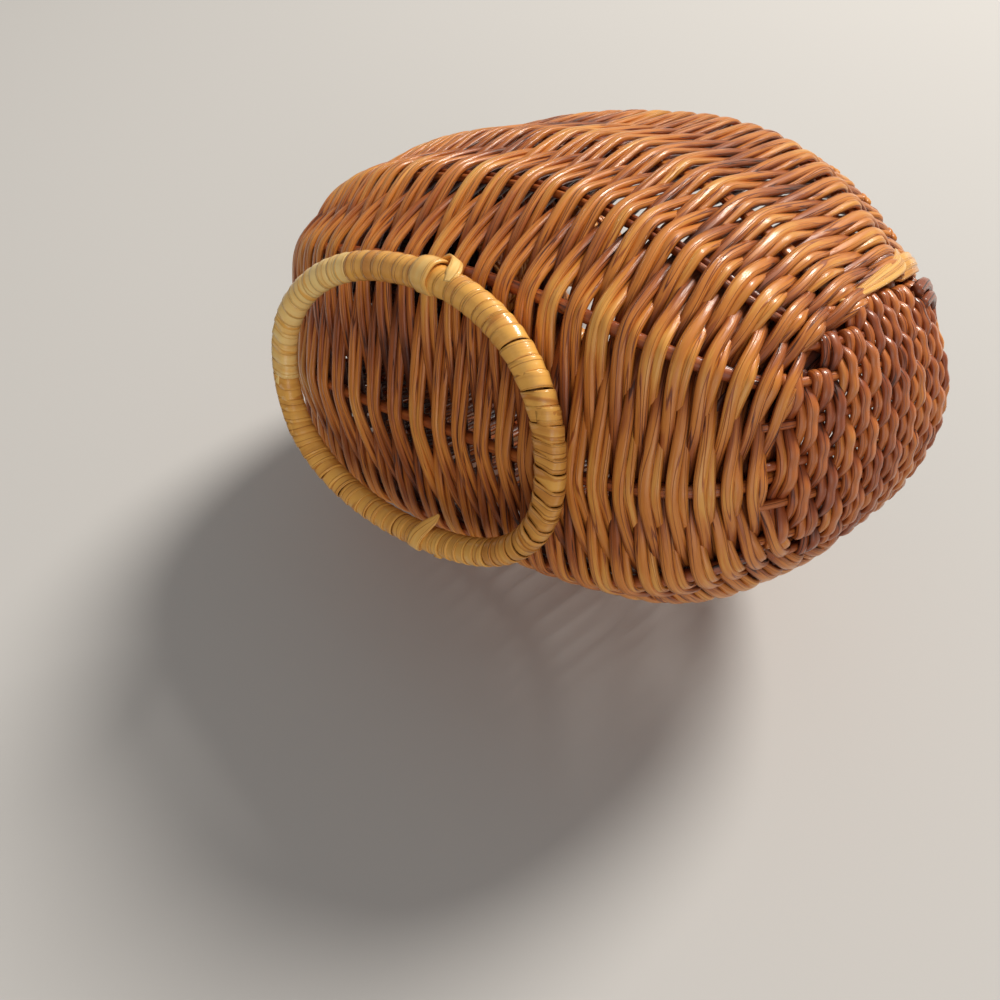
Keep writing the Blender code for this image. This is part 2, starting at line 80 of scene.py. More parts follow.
# Weaving rods go in pairs. Rows are closest at the rump
ROD_HALF_WIDTH = 0.00118
ROD_HALF_DEPTH = 0.00080
ROW_PITCH_PLACES = (-0.90, -0.80, -0.65, -0.50, -0.30, 0.0, 0.35, 0.65, 1.0)
ROW_PITCHES = (0.0022, 0.00245, 0.0028, 0.0032, 0.0037, 0.0040, 0.0039, 0.0034, 0.0031)
STEP = 0.0010
PAIR_TILT = math.radians(54)
SIDES = 8

# Fineness: angles round the body, a small step for directions, and that for places on the hoop
ANGLE_STEPS = 260
CORNER_SHARE = 0.72
NUDGE = 1e-4
TURN_NUDGE = 0.01


# The body's surface


def signed_power(value, power):
    return np.sign(value) * np.abs(value) ** power


def level_at(along):
    rump = RUMP_UPTURN * np.abs(along) ** UPTURN_POWER - RUMP_FALL * along**2
    return LEVEL + np.where(along < 0, rump, -BREAST_FALL * along**2)


def fullness(along):
    power = np.where(along < 0, RUMP_BLUNTNESS, BREAST_BLUNTNESS)
    return np.sqrt(np.maximum(0.0, 1 - np.abs(along) ** power))


def breast_sag(along, angle):
    """The breast's lower right side is a little fuller than its left, as handwork comes out."""
    lengthways = np.sin(np.clip((along - SAG_START) / SAG_LENGTH, 0, 1) * math.pi)
    return lengthways * np.sin(np.clip((SAG_TOP_ANGLE - angle) / SAG_REACH, 0, 1) * math.pi)


def body_points(along, angle):
    along, angle = np.broadcast_arrays(along, angle)
    size = fullness(along) * (1 + SAG_SHARE * breast_sag(along, angle))
    across, down = np.sin(angle), np.cos(angle)
    belly = down > 0
    across = np.where(belly, signed_power(across, 2 / BELLY_BOXINESS), across)
    drop = np.where(belly, BELLY * np.abs(down) ** (2 / BELLY_BOXINESS), BACK * down)
    x = BODY_MIDDLE + HALF_LENGTH * along
    return np.stack([x, HALF_WIDTH * size * across, level_at(along) - drop * size], -1)


def unit(rows):
    return rows / np.maximum(np.linalg.norm(rows, axis=-1, keepdims=True), 1e-12)


def run_along(line):
    """The length of the line up to each of its points."""
    return np.concatenate([[0], np.cumsum(np.linalg.norm(np.diff(line, axis=0), axis=1))])


def fine_angles():
    """Angles round the body, closer where the boxy belly turns quickly."""
    share = np.linspace(0, 1, ANGLE_STEPS) ** (BELLY_BOXINESS / 2)
    share = share[share < CORNER_SHARE]
    quarter = np.concatenate([np.arcsin(share), np.arccos(share)])
    half = np.unique(np.concatenate([quarter, np.linspace(math.pi / 2, math.pi, ANGLE_STEPS)]))
    return np.concatenate([-half[:0:-1], half])


ANGLES = fine_angles()


class Section:
    """One cross-section of the body: its line, how far along it each angle lies, and which way is out."""

    def __init__(self, along):
        self.points = body_points(along, ANGLES)
        self.run = run_along(self.points)
        self.run -= np.interp(0.0, ANGLES, self.run)
        ahead = body_points(along + NUDGE, ANGLES) - body_points(along - NUDGE, ANGLES)
        round_it = np.gradient(self.points, axis=0)
        self.out = unit(np.cross(ahead, round_it))
        middle = self.points.mean(0)
        if np.sum(self.out * (self.points - middle)) < 0:
            self.out = -self.out
        self.side = unit(ahead)

    def place(self, angle):
        return float(np.interp(angle, ANGLES, self.run))

    def at(self, runs, rows):
        return np.stack([np.interp(runs, self.run, rows[:, k]) for k in range(3)], -1)


def hoop_height(x, y):
    along = (x - BODY_MIDDLE) / HALF_LENGTH
    size = fullness(along)
    share = np.clip(y / (HALF_WIDTH * size), -1, 1)
    return level_at(along) + BACK * size * np.sqrt(1 - share**2)


def hoop_point(turn, wider=0.0):
    """A place on the back: on the hoop's middle line, or outside it by the given width."""
    x = HOOP_MIDDLE + (HOOP_HALF_LENGTH + wider) * math.cos(turn)
    y = (HOOP_HALF_WIDTH + wider) * math.sin(turn)
    return np.array([x, y, float(hoop_height(x, y))])


def hoop_cross(along):
    """The turn and the section angle at which this section's left side meets the hoop."""
    x = BODY_MIDDLE + HALF_LENGTH * along
    turn = math.acos(max(-1.0, min(1.0, (x - HOOP_MIDDLE) / HOOP_HALF_LENGTH)))
    y = HOOP_HALF_WIDTH * math.sin(turn)
    share = min(1.0, y / (HALF_WIDTH * float(fullness(along))))
    return turn, math.pi - math.asin(share)


# Rods and strips


def smoothed(rows, passes, closed):
    for _ in range(passes):
        if closed:
            before, after = np.roll(rows, 1, 0), np.roll(rows, -1, 0)
        else:
            before = np.concatenate([rows[:1], rows[:-1]])
            after = np.concatenate([rows[1:], rows[-1:]])
        rows = rows / 2 + (before + after) / 4
    return rows


def eased(points, amount):
    """A smooth line through a few points."""
    points = np.array(points, float)
    before = np.vstack([2 * points[0] - points[1], points, 2 * points[-1] - points[-2]])
    line = []
    for k in range(len(points) - 1):
        a, b, c, d = before[k : k + 4]
        for share in np.arange(amount) / amount:
            second = (2 * a - 5 * b + 4 * c - d) * share**2 / 2
            line.append(b + (c - a) * share / 2 + second + (3 * b - a - 3 * c + d) * share**3 / 2)
    line.append(points[-1])
    return np.array(line)


def smooth_strip(spots, amount):
    """A smooth line through a few places, each given with its way out."""
    line, outs = zip(*spots)
    return eased(line, amount), unit(eased(outs, amount))


def taper(line, widths, places=None):
    """Widths spread evenly along a line, or set at given shares of its way."""
    places = np.linspace(0, 1, len(widths)) if places is None else places
    return np.interp(np.linspace(0, 1, len(line)), places, widths)


ROD_FLATNESS = 0.86
CANE_FLATNESS = 0.5
# How much more painted shade a rod gets where it dips deep under a rib
DEEP_SHADE_WEIGHT = 1.3


class Bunch:
    """Rods and strips gathered into one piece, each with its own shade."""

    def __init__(self, name):
        self.name = name
        self.points, self.faces, self.marks, self.shades, self.painted_shade = [], [], [], [], []
        self.count = 0

    def lay(self, line, out, wide, thick, shade, closed=False, flatness=ROD_FLATNESS, deep=0.0):
        """Sweeps a round or flat section along a line. Out is its thin direction. Deep rods and each rod's
        inward face get painted shade.
        """
        count, sides = len(line), SIDES
        ahead = np.roll(line, -1, 0) - np.roll(line, 1, 0)
        if not closed:
            ahead[0], ahead[-1] = line[1] - line[0], line[-1] - line[-2]
        ahead = unit(ahead)
        out = unit(out - ahead * np.sum(out * ahead, -1, keepdims=True))
        side = np.cross(ahead, out)
        turns = np.arange(sides) * math.tau / sides + math.pi / sides
        wide, thick, deep = (np.broadcast_to(np.asarray(v, float), (count,)) for v in (wide, thick, deep))
        rings = (
            line[:, None]
            + side[:, None] * (wide[:, None] * signed_power(np.cos(turns), flatness))[..., None]
            + out[:, None] * (thick[:, None] * signed_power(np.sin(turns), flatness))[..., None]
        )
        self.points.append(rings.reshape(-1, 3))
        run = run_along(line)
        spans = count if closed else count - 1
        k = np.arange(spans)[:, None]
        j = np.arange(sides)[None]
        k, j = np.broadcast_arrays(k, j)
        onward, beside = (k + 1) % count, (j + 1) % sides
        corners = (k * sides + j, k * sides + beside, onward * sides + beside, onward * sides + j)
        self.faces.extend((np.stack(corners, -1).reshape(-1, 4) + self.count).tolist())
        far = np.where(k + 1 < count, run[(k + 1) % count], run[-1] + STEP)
        here, low, high = run[k], j / sides, (j + 1) / sides
        marks = [np.stack(pair, -1) for pair in ((here, low), (here, high), (far, high), (far, low))]
        self.marks.append(np.stack(marks, -2).reshape(-1, 2))
        if not closed:
            first = [self.count + j for j in range(sides)][::-1]
            last = [self.count + (count - 1) * sides + j for j in range(sides)]
            self.faces.extend([first, last])
            self.marks.append(np.tile([[0.0, 0.0]], (sides, 1)))
            self.marks.append(np.tile([[run[-1], 0.0]], (sides, 1)))
        self.shades.append(np.full(count * sides, shade))
        # Painted shade mask: 0 on the rod's outward face, 1 on its inward face, and more where the rod dips
        # deep
        self.painted_shade.append((0.5 - np.sin(turns)[None] / 2 + deep[:, None] * DEEP_SHADE_WEIGHT).ravel())
        self.count += count * sides

    def make(self, finish, slot, *nodes):
        mesh = bpy.data.meshes.new(self.name)
        mesh.from_pydata(np.concatenate(self.points).tolist(), [], self.faces)
        layer = mesh.uv_layers.new(name="along")
        layer.data.foreach_set("uv", np.concatenate(self.marks).ravel())
        for kind, values in (("shade", self.shades), ("painted_shade", self.painted_shade)):
            mesh.attributes.new(kind, "FLOAT", "POINT").data.foreach_set("value", np.concatenate(values))
        mesh.shade_smooth()
        mesh.materials.append(finish)
        piece = bpy.data.objects.new(self.name, mesh)
        bpy.context.collection.objects.link(piece)
        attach(piece, "root")
        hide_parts(*nodes)


# Finishes


def link(tree, source, target):
    tree.links.new(source, target)


def node(tree, kind, **settings):
    made = tree.nodes.new(kind)
    for key, value in settings.items():
        setattr(made, key, value)
    return made


def sums(tree, operation, first, second=None):
    made = node(tree, "ShaderNodeMath", operation=operation)
    for socket, value in zip(made.inputs, (first, second)):
        if value is None:
            continue
        if isinstance(value, (int, float)):
            socket.default_value = value
        else:
            link(tree, value, socket)
    return made.outputs[0]


def ramp(tree, factor, stops):
    made = node(tree, "ShaderNodeValToRGB")
    made.color_ramp.interpolation = "EASE"
    points = made.color_ramp.elements
    while len(points) < len(stops):
        points.new(0.5)
    for point, (place, color) in zip(points, stops):
        point.position = place
        point.color = (*color, 1)
    link(tree, factor, made.inputs[0])
    return made.outputs[0]


def noise(tree, place, scale=1.0, detail=2.0, roughness=0.5):
    made = node(tree, "ShaderNodeTexNoise")
    for name, value in (("Scale", scale), ("Detail", detail), ("Roughness", roughness)):
        made.inputs[name].default_value = value
    link(tree, place, made.inputs["Vector"])
    return made.outputs[0]


def remap(tree, value, low, high, first, last):
    """Turns values between low and high into values from first to last."""
    made = node(tree, "ShaderNodeMapRange")
    for name, number in (("From Min", low), ("From Max", high), ("To Min", first), ("To Max", last)):
        made.inputs[name].default_value = number
    link(tree, value, made.inputs["Value"])
    return made.outputs[0]


def bumped(tree, height, strength, distance):
    made = node(tree, "ShaderNodeBump")
    made.inputs["Strength"].default_value = strength
    made.inputs["Distance"].default_value = distance
    link(tree, height, made.inputs["Height"])
    return made.outputs[0]


def new_finish(name):
    finish = bpy.data.materials.new(name)
    finish.use_nodes = True
    return finish, finish.node_tree, finish.node_tree.nodes["Principled BSDF"]


# Varnished rods: how wide and long their streaks are, and how far each one shifts the shade
STREAK_ROUGHNESS = 0.6
GRAIN_SEED, GRAIN_DETAIL, GRAIN_SWING = 91.0, 3.0, 0.55
SPLIT_SEED, SPLIT_WIDTH, SPLIT_LENGTH = 37.0, 0.55, 0.30
SPLIT_EDGE, SPLIT_DARK, SPLIT_DEPTH = (0.006, 0.026), 0.27, 0.6
DRIFT_SEED, DRIFT_WIDTH, DRIFT_LENGTH, DRIFT_SWING = 57.0, 0.05, 42.0, 0.36
PATCH_SCALE = 26.0
# Painted shade: how far a rod's inward face and its dips are darkened, and how far the whole rod is
# lightened to balance it, which gives its outward face painted light
INNER_PAINTED_SHADE, OUTER_PAINTED_LIGHT = 0.45, 0.12
GRAIN_RANGE, ROUGHER, SMOOTHER = (0.3, 0.7), 0.14, 0.08
ROD_BUMP, ROD_SPECULAR, ROD_COAT_ROUGHNESS = (0.60, 0.00030), 0.35, 0.11
WOOD_BUMP, WOOD_COAT, WOOD_COAT_ROUGHNESS, WOOD_DETAIL = (0.4, 0.0002), 0.35, 0.15, 4.0


def cane_finish(name, stops, roughness, coat, groove, grain_size, patch=0.40, painted_shade_amount=0.55):
    """Varnished rod or cane: a shade for each rod, stained patches, fine grooves and splits, and painted
    shade on each rod's inward face and where it dips.
    """
    finish, tree, shader = new_finish(name)
    split = node(tree, "ShaderNodeSeparateXYZ")
    link(tree, node(tree, "ShaderNodeUVMap", uv_map="along").outputs[0], split.inputs[0])
    shade = node(tree, "ShaderNodeAttribute", attribute_name="shade").outputs["Fac"]
    painted_shade = node(tree, "ShaderNodeAttribute", attribute_name="painted_shade").outputs["Fac"]
    turn = sums(tree, "MULTIPLY", split.outputs[1], math.tau)
    cosine, sine = sums(tree, "COSINE", turn), sums(tree, "SINE", turn)

    def streaks(round_size, run_size, seed, detail):
        """Noise drawn out along the rod."""
        run = sums(tree, "MULTIPLY", split.outputs[0], run_size)
        run = sums(tree, "ADD", run, sums(tree, "MULTIPLY", shade, seed))
        place = node(tree, "ShaderNodeCombineXYZ")
        link(tree, sums(tree, "MULTIPLY", cosine, round_size), place.inputs[0])
        link(tree, sums(tree, "MULTIPLY", sine, round_size), place.inputs[1])
        link(tree, run, place.inputs[2])
        return noise(tree, place.outputs[0], 1.0, detail, STREAK_ROUGHNESS)

    def swing(source, amount):
        return sums(tree, "MULTIPLY", sums(tree, "SUBTRACT", source, 0.5), amount)

    grain = streaks(groove, grain_size, GRAIN_SEED, GRAIN_DETAIL)
    crack = streaks(groove * SPLIT_WIDTH, grain_size * SPLIT_LENGTH, SPLIT_SEED, 0.0)
    drift = streaks(DRIFT_WIDTH, DRIFT_LENGTH, DRIFT_SEED, 2.0)
    gap = sums(tree, "ABSOLUTE", sums(tree, "SUBTRACT", crack, 0.5))
    line = remap(tree, gap, *SPLIT_EDGE, 1.0, 0.0)
    patches = noise(tree, node(tree, "ShaderNodeTexCoord").outputs["Object"], PATCH_SCALE)
    tone = shade
    for source, amount in ((drift, DRIFT_SWING), (patches, patch), (grain, GRAIN_SWING)):
        tone = sums(tree, "ADD", tone, swing(source, amount))
    tone = sums(tree, "SUBTRACT", tone, sums(tree, "MULTIPLY", line, SPLIT_DARK))
    # Painted shade on each rod's inward face and where it dips under a rib, and painted light on the rest
    tone = sums(tree, "SUBTRACT", tone, sums(tree, "MULTIPLY", painted_shade, painted_shade_amount * INNER_PAINTED_SHADE))
    tone = sums(tree, "ADD", tone, painted_shade_amount * OUTER_PAINTED_LIGHT)
    link(tree, ramp(tree, tone, stops), shader.inputs["Base Color"])
    shine = remap(tree, grain, *GRAIN_RANGE, roughness + ROUGHER, roughness - SMOOTHER)
    link(tree, shine, shader.inputs["Roughness"])
    height = sums(tree, "SUBTRACT", grain, sums(tree, "MULTIPLY", line, SPLIT_DEPTH))
    bump = bumped(tree, height, *ROD_BUMP)
    link(tree, bump, shader.inputs["Normal"])
    link(tree, bump, shader.inputs["Coat Normal"])
    shader.inputs["Specular IOR Level"].default_value = ROD_SPECULAR
    # The coat thins by the same painted shade mask, so those parts also lose their reflections
    varnish = sums(tree, "SUBTRACT", coat * 1.25, sums(tree, "MULTIPLY", painted_shade, coat))
    link(tree, sums(tree, "MAXIMUM", varnish, 0.0), shader.inputs["Coat Weight"])
    shader.inputs["Coat Roughness"].default_value = ROD_COAT_ROUGHNESS
    return finish


ROD_STOPS = (
    (0.00, (0.017, 0.005, 0.003)),
    (0.22, (0.096, 0.023, 0.008)),
    (0.42, (0.345, 0.086, 0.016)),
    (0.62, (0.625, 0.208, 0.032)),
    (0.82, (0.770, 0.355, 0.068)),
    (1.00, (0.870, 0.530, 0.160)),
)
STAINED_STOPS = (
    (0.00, (0.014, 0.004, 0.002)),
    (0.24, (0.080, 0.016, 0.006)),
    (0.46, (0.290, 0.062, 0.014)),
    (0.68, (0.520, 0.150, 0.030)),
    (0.90, (0.720, 0.300, 0.060)),
)
CANE_STOPS = (
    (0.00, (0.190, 0.060, 0.012)),
    (0.30, (0.620, 0.250, 0.044)),
    (0.60, (0.880, 0.455, 0.095)),
    (1.00, (0.960, 0.680, 0.260)),
)
varnished_rod = cane_finish("varnished_rod", ROD_STOPS, 0.38, 0.30, 1.9, 90.0)
stained_rod = cane_finish("stained_rod", STAINED_STOPS, 0.36, 0.35, 1.3, 70.0, 0.30)
golden_cane = cane_finish("golden_cane", CANE_STOPS, 0.36, 0.45, 1.8, 70.0, 0.45, 0.2)


def wood_finish(name, dark, light, roughness, stretch):
    """Wood or a peeled rod on its own place in the basket: streaks along it, pores and varnish."""
    finish, tree, shader = new_finish(name)
    turn = node(tree, "ShaderNodeMapping")
    turn.inputs["Scale"].default_value = stretch
    link(tree, node(tree, "ShaderNodeTexCoord").outputs["Object"], turn.inputs["Vector"])
    grain = noise(tree, turn.outputs[0], 1.0, WOOD_DETAIL)
    link(tree, ramp(tree, grain, ((0.30, dark), (0.70, light))), shader.inputs["Base Color"])
    link(tree, bumped(tree, grain, *WOOD_BUMP), shader.inputs["Normal"])
    shader.inputs["Roughness"].default_value = roughness
    shader.inputs["Coat Weight"].default_value = WOOD_COAT
    shader.inputs["Coat Roughness"].default_value = WOOD_COAT_ROUGHNESS
    return finish


peeled_rib = wood_finish("peeled_rib", (0.24, 0.070, 0.014), (0.58, 0.230, 0.050), 0.40, (120, 900, 900))
carved_bill = wood_finish("carved_bill", (0.46, 0.20, 0.05), (0.74, 0.42, 0.13), 0.36, (90, 700, 700))
glass_bead = wood_finish("glass_bead", (0.006, 0.005, 0.005), (0.020, 0.016, 0.014), 0.10, (300, 300, 300))


# The woven body

# How far rows keep from the rump, from the opening's end and in front of it. Front rows also cross the
# deck ribs, and the rows nearest the rump bend back round its lower corners
AFTER_RUMP, BEFORE_END, PAST_END = 0.008, 0.004, 0.008
DECK_START = 0.36
BULGE, BULGE_START, BULGE_ANGLE = 0.017, -0.60, 1.9
# How a row lies, from the rump's rows to the middle's: its pull to a straight line, its softness over
# a rib and its pairs' twist. Then its height over a rib, which needs room between ribs, and its flat there
ROW_PULL = ((-0.6, -0.2), (0.60, 0.35))
ROW_SOFTNESS = ((-0.6, -0.1), (0.0020, 0.0042))
ROW_TWIST = ((-0.6, -0.1), (1.0, 0.55))
RIB_LIFT = RIB_RADIUS + ROD_HALF_DEPTH - 0.0001
OPEN_GAP, FULL_LIFT_GAP = 0.02, 0.0075
ROW_FLATS = (0.0011, 0.0011)
# How far the rows wander
RIB_DRIFT, ROW_DRIFT, DRIFT_PLACES = 0.0002, 0.00035, 9
PULL_PASSES = 14
WAVE_STEP, WAVE_MARGIN = 0.0003, 0.01
TWIST_POWER = 1.3
# Turns over the hoop
TURN_POINTS, TURN_GAP = 9, 0.0007
# Pairs: their lengths in rows, their reach, and how their two rods' widths, depths and shades vary
FIRST_LENGTHS, LENGTHS = (2, 5), (1, 3)
PAIR_REACH, PAIR_PASSES = 0.88, 2
ROD_WIDTHS = ((0.86, 1.04), (1.0, 1.16))
ROD_DEPTHS = (0.92, 1.06)
DARK_SHARE, PALE_ROLL = 0.12, 0.96
DARK_SHADES, USUAL_SHADES, PALE_SHADES, SHADE_DRIFT = (0.38, 0.46), (0.50, 0.68), (0.74, 0.84), 0.07


def corner_bulge(along):
    """How far the rows nearest the rump bend back round its lower corners."""
    near = np.clip((along - BULGE_START) / (RUMP_END - BULGE_START), 0, 1) ** 1.5
    return BULGE * near * np.sin(np.clip(np.abs(ANGLES) * math.pi / BULGE_ANGLE, 0, math.pi))


def row_elements(along):
    """A row's cross-section, and the places of all that it crosses from its right side to its left."""
    section = Section(along - corner_bulge(along))
    deck = [DECK_RIB_ANGLE] if along > DECK_START else []
    rim = [hoop_cross(along)[1]] if along < OPENING_END else []
    left = [*LEFT_RIB_ANGLES, *deck, *(rim or [math.pi])]
    right = [*RIGHT_RIB_ANGLES, *deck, *rim]
    angles = [*(-a for a in reversed(right)), KEEL_ANGLE, *left]
    return section, [section.place(a) for a in angles]


def wave(runs, knots, signs, height, soft, flats=ROW_FLATS):
    """Height over the ribs' middle line: full at each rib, straight between them, and rounded."""
    places, heights = [], []
    for knot, sign in zip(knots, signs):
        flat = flats[0] if sign > 0 else flats[1]
        places += [knot - flat, knot + flat]
        heights += [sign * height, sign * height]
    fine = np.arange(runs[0] - WAVE_MARGIN, runs[-1] + WAVE_MARGIN, WAVE_STEP)
    line = np.interp(fine, places, heights)
    kernel = np.hanning(2 * max(1, int(soft / WAVE_STEP)) + 3)
    kernel /= kernel.sum()
    line = np.convolve(np.pad(line, len(kernel) // 2, mode="edge"), kernel, "valid")
    return np.interp(runs, fine[: len(line)], line)


def share_between(runs, knots):
    """How far each place lies from the knot before it to the knot after it."""
    which = np.clip(np.searchsorted(knots, runs) - 1, 0, len(knots) - 2)
    low, high = np.asarray(knots)[which], np.asarray(knots)[which + 1]
    return np.clip((runs - low) / np.maximum(high - low, 1e-6), 0, 1)


# How far a rod dips below its ribs, 0 over a rib and 1 under one; it sets the rod's painted shade
def how_deep(lift, height):
    return np.clip(0.5 - 0.6 * lift / height, 0, 1)


def straightened(section, runs, knots, share):
    """The row's ground line: part of the way from the round surface to a straight pull rib to rib."""
    ground = section.at(runs, section.points)
    posts = section.at(np.asarray(knots), section.points)
    chord = np.stack([np.interp(runs, knots, posts[:, k]) for k in range(3)], -1)
    return ground + (chord - ground) * share


def row_line(along, flip, closed):
    """One row: its middle line with the directions out of the wall and towards the breast."""
    section, knots = row_elements(along)
    count = len(knots)
    signs = [(1 if (k + flip) % 2 == 0 else -1) for k in range(count)]
    knots = [knot + hand.uniform(-RIB_DRIFT, RIB_DRIFT) for knot in knots]
    if closed:
        whole = section.run[-1] - section.run[0]
        start = knots[0] - (whole - (knots[-1] - knots[0])) / 2
        amount = max(24, int(whole / STEP))
        runs = start + np.arange(amount) * whole / amount
        wide_knots = [knots[-1] - whole, *knots, knots[0] + whole]
        wide_signs = [signs[-1], *signs, signs[0]]
        spots = np.where(runs < section.run[0], runs + whole, runs)
        spots = np.where(spots > section.run[-1], spots - whole, spots)
        ground = section.at(spots, section.points)
        gap = whole / count
    else:
        runs = spots = np.linspace(knots[0], knots[-1], int((knots[-1] - knots[0]) / STEP))
        wide_knots, wide_signs = knots, signs
        pull = float(np.interp(along, *ROW_PULL))
        ground = smoothed(straightened(section, runs, knots, pull), PULL_PASSES, False)
        gap = OPEN_GAP
    out, side = unit(section.at(spots, section.out)), unit(section.at(spots, section.side))
    height = RIB_LIFT * min(1.0, gap / FULL_LIFT_GAP)
    lift = wave(runs, wide_knots, wide_signs, height, float(np.interp(along, *ROW_SOFTNESS)))
    twist = np.sin(share_between(runs, wide_knots) * math.pi) ** TWIST_POWER
    tilt = PAIR_TILT * float(np.interp(along, *ROW_TWIST)) * twist
    drifts = [hand.uniform(-ROW_DRIFT, ROW_DRIFT) for _ in range(DRIFT_PLACES)]
    drift = np.interp(runs, np.linspace(runs[0], runs[-1], DRIFT_PLACES), drifts)
    if closed:
        drift = drift * np.sin(np.linspace(0, math.pi, len(runs)))
    line = ground + out * lift[:, None] + side * drift[:, None]
    return line, out, side, tilt, how_deep(lift, height), signs


def rim_turn(before, after, left, outside_first):
    """The way over the hoop from one row to the next: half a turn round it."""
    first, second = (hoop_cross(along)[0] * (1 if left else -1) for along in (before, after))
    line, outs = [], []
    for k in range(TURN_POINTS):
        share = (k + 0.5) / TURN_POINTS
        turn = first + (second - first) * share
        middle = hoop_point(turn)
        ahead = unit(hoop_point(turn + TURN_NUDGE) - hoop_point(turn - TURN_NUDGE))
        along = (middle[0] - BODY_MIDDLE) / HALF_LENGTH
        _, angle = hoop_cross(along)
        section = Section(along)
        out = unit(section.at(section.place(angle if left else -angle), section.out))
        inward = np.cross(ahead, out)
        if np.dot(inward, middle - np.array([HOOP_MIDDLE, 0, middle[2]])) > 0:
            inward = -inward
        phase = math.pi * share if outside_first else math.pi * (1 - share)
        way = out * math.cos(phase) + inward * math.sin(phase)
        line.append(middle + way * (HOOP_RADIUS + ROD_HALF_DEPTH + TURN_GAP))
        outs.append(way)
    return np.array(line), np.array(outs)


def row_places(start, end):
    """Places of the rows as measured along a lower rib: wide apart under the belly, close at the rump."""
    fine = np.linspace(start, end, 4000)
    run = run_along(body_points(fine, LEFT_RIB_ANGLES[0]))
    pitch = np.interp((fine[1:] + fine[:-1]) / 2, ROW_PITCH_PLACES, ROW_PITCHES)
    count_so_far = np.concatenate([[0], np.cumsum(np.diff(run) / pitch)])
    count = round(count_so_far[-1])
    return np.interp(np.linspace(0, count_so_far[-1], count + 1), count_so_far, fine)


def lay_pair(bunch, line, out, side, tilt, deep, shades, closed=False, spread=1.0):
    """Two rods beside each other. Between ribs one slides half over the other."""
    for rod, sign in enumerate((-1, 1)):
        reach = ROD_HALF_WIDTH * PAIR_REACH * spread * sign
        offset = side * (np.cos(tilt) * reach)[:, None] + out * (np.sin(tilt) * reach)[:, None]
        rod_line = smoothed(line + offset, PAIR_PASSES, closed)
        wide = ROD_HALF_WIDTH * spread * hand.uniform(*ROD_WIDTHS[rod])
        thick = ROD_HALF_DEPTH * hand.uniform(*ROD_DEPTHS)
        bunch.lay(rod_line, out, wide, thick, shades[rod], closed, deep=deep)


def pick_shades():
    """Shades of a pair: most are orange brown, some reddish and dark, a few have a paler second rod."""
    roll = hand.random()
    first = hand.uniform(*(DARK_SHADES if roll < DARK_SHARE else USUAL_SHADES))
    if roll > PALE_ROLL:
        return first, hand.uniform(*PALE_SHADES)
    return first, first + hand.uniform(-SHADE_DRIFT, SHADE_DRIFT)


def weave_body():
    """The open rows, from the rump to the deck. Pairs run over the rim from row to row."""
    rows = []
    for k, along in enumerate(row_places(RUMP_END + AFTER_RUMP, OPENING_END - BEFORE_END)):
        deck = along > DECK_START
        rows.append((along, deck, row_line(along, (k + deck) % 2, False)))
    bunches = [Bunch("woven_rods_rear"), Bunch("woven_rods_middle"), Bunch("woven_rods_front")]
    chunk = []
    length = hand.randint(*FIRST_LENGTHS)
    shades = pick_shades()
    for k, (along, deck, (*ways, signs)) in enumerate(rows):
        going_left = signs[-1] > 0
        if not going_left:
            ways = [rows_of[::-1] for rows_of in ways]
        chunk.append(ways)
        last = k + 1 == len(rows) or rows[k + 1][1] != deck
        if last or len(chunk) >= 2 * length:
            bunch = bunches[min(2, int(3 * k / len(rows)))]
            lay_pair(bunch, *(np.concatenate(rows_of) for rows_of in zip(*chunk)), shades)
            chunk.clear()
            length = hand.randint(*LENGTHS)
            shades = pick_shades()
        if not last:
            turned, outs = rim_turn(along, rows[k + 1][0], going_left, signs[-1] > 0)
            sides = np.repeat(unit(ways[2][-1:]), len(turned), 0)
            chunk.append((turned, outs, sides, np.zeros(len(turned)), np.zeros(len(turned))))
    return bunches


# Short rods that close the breast's tip: the way of each across it, and its thickness
TIP_RODS = ((0.4, 0.0013), (1.5, 0.0012), (2.6, 0.0013))
TIP_REACH, TIP_RISE, TIP_FALL, TIP_SHADE = 0.0042, 0.0010, 0.0016, 0.5


def weave_breast(deck, breast):
    """Rows that close on themselves, under the neck and round the breast."""
    for k, along in enumerate(row_places(OPENING_END + PAST_END, BREAST_TIP)):
        line, out, side, tilt, deep, _ = row_line(along, k % 2, True)
        bunch = deck if along < BREAST_START else breast
        lay_pair(bunch, line, out, side, tilt, deep, pick_shades(), True)
    reach = np.linspace(-1, 1, 11)
    ahead = np.tile([1.0, 0, 0], (11, 1))
    for angle, thick in TIP_RODS:
        way = np.array([0.0, math.cos(angle), math.sin(angle)])
        rise = ahead * (TIP_RISE - TIP_FALL * reach**2)[:, None]
        line = body_points(1.0, 0.0) + rise + way * (reach * TIP_REACH)[:, None]
        breast.lay(line, ahead, thick, thick, TIP_SHADE)


# Ribs: where they run, and how they sink under the rump's weave
RIB_START, RIB_STOP, RIB_POINTS = -0.925, 0.962, 170
RIB_SINK, SINK_START, SINK_LENGTH = 0.0016, -0.86, 0.03
THIN_WIDTH, THIN_DEPTH, THIN_SHADE = 0.00085, 0.00100, 0.06
SLAT_WIDTH, SLAT_DEPTH, SLAT_FLATNESS = 0.0021, 0.0008, 0.6
RIB_LEVELS, RIB_SHADES = ("lower", "middle", "upper", "shoulder"), (0.44, 0.44, 0.66, 0.58)
RIB_KINDS = ("round", "double", "slat", "slat")
KEEL_SHADE = 0.50


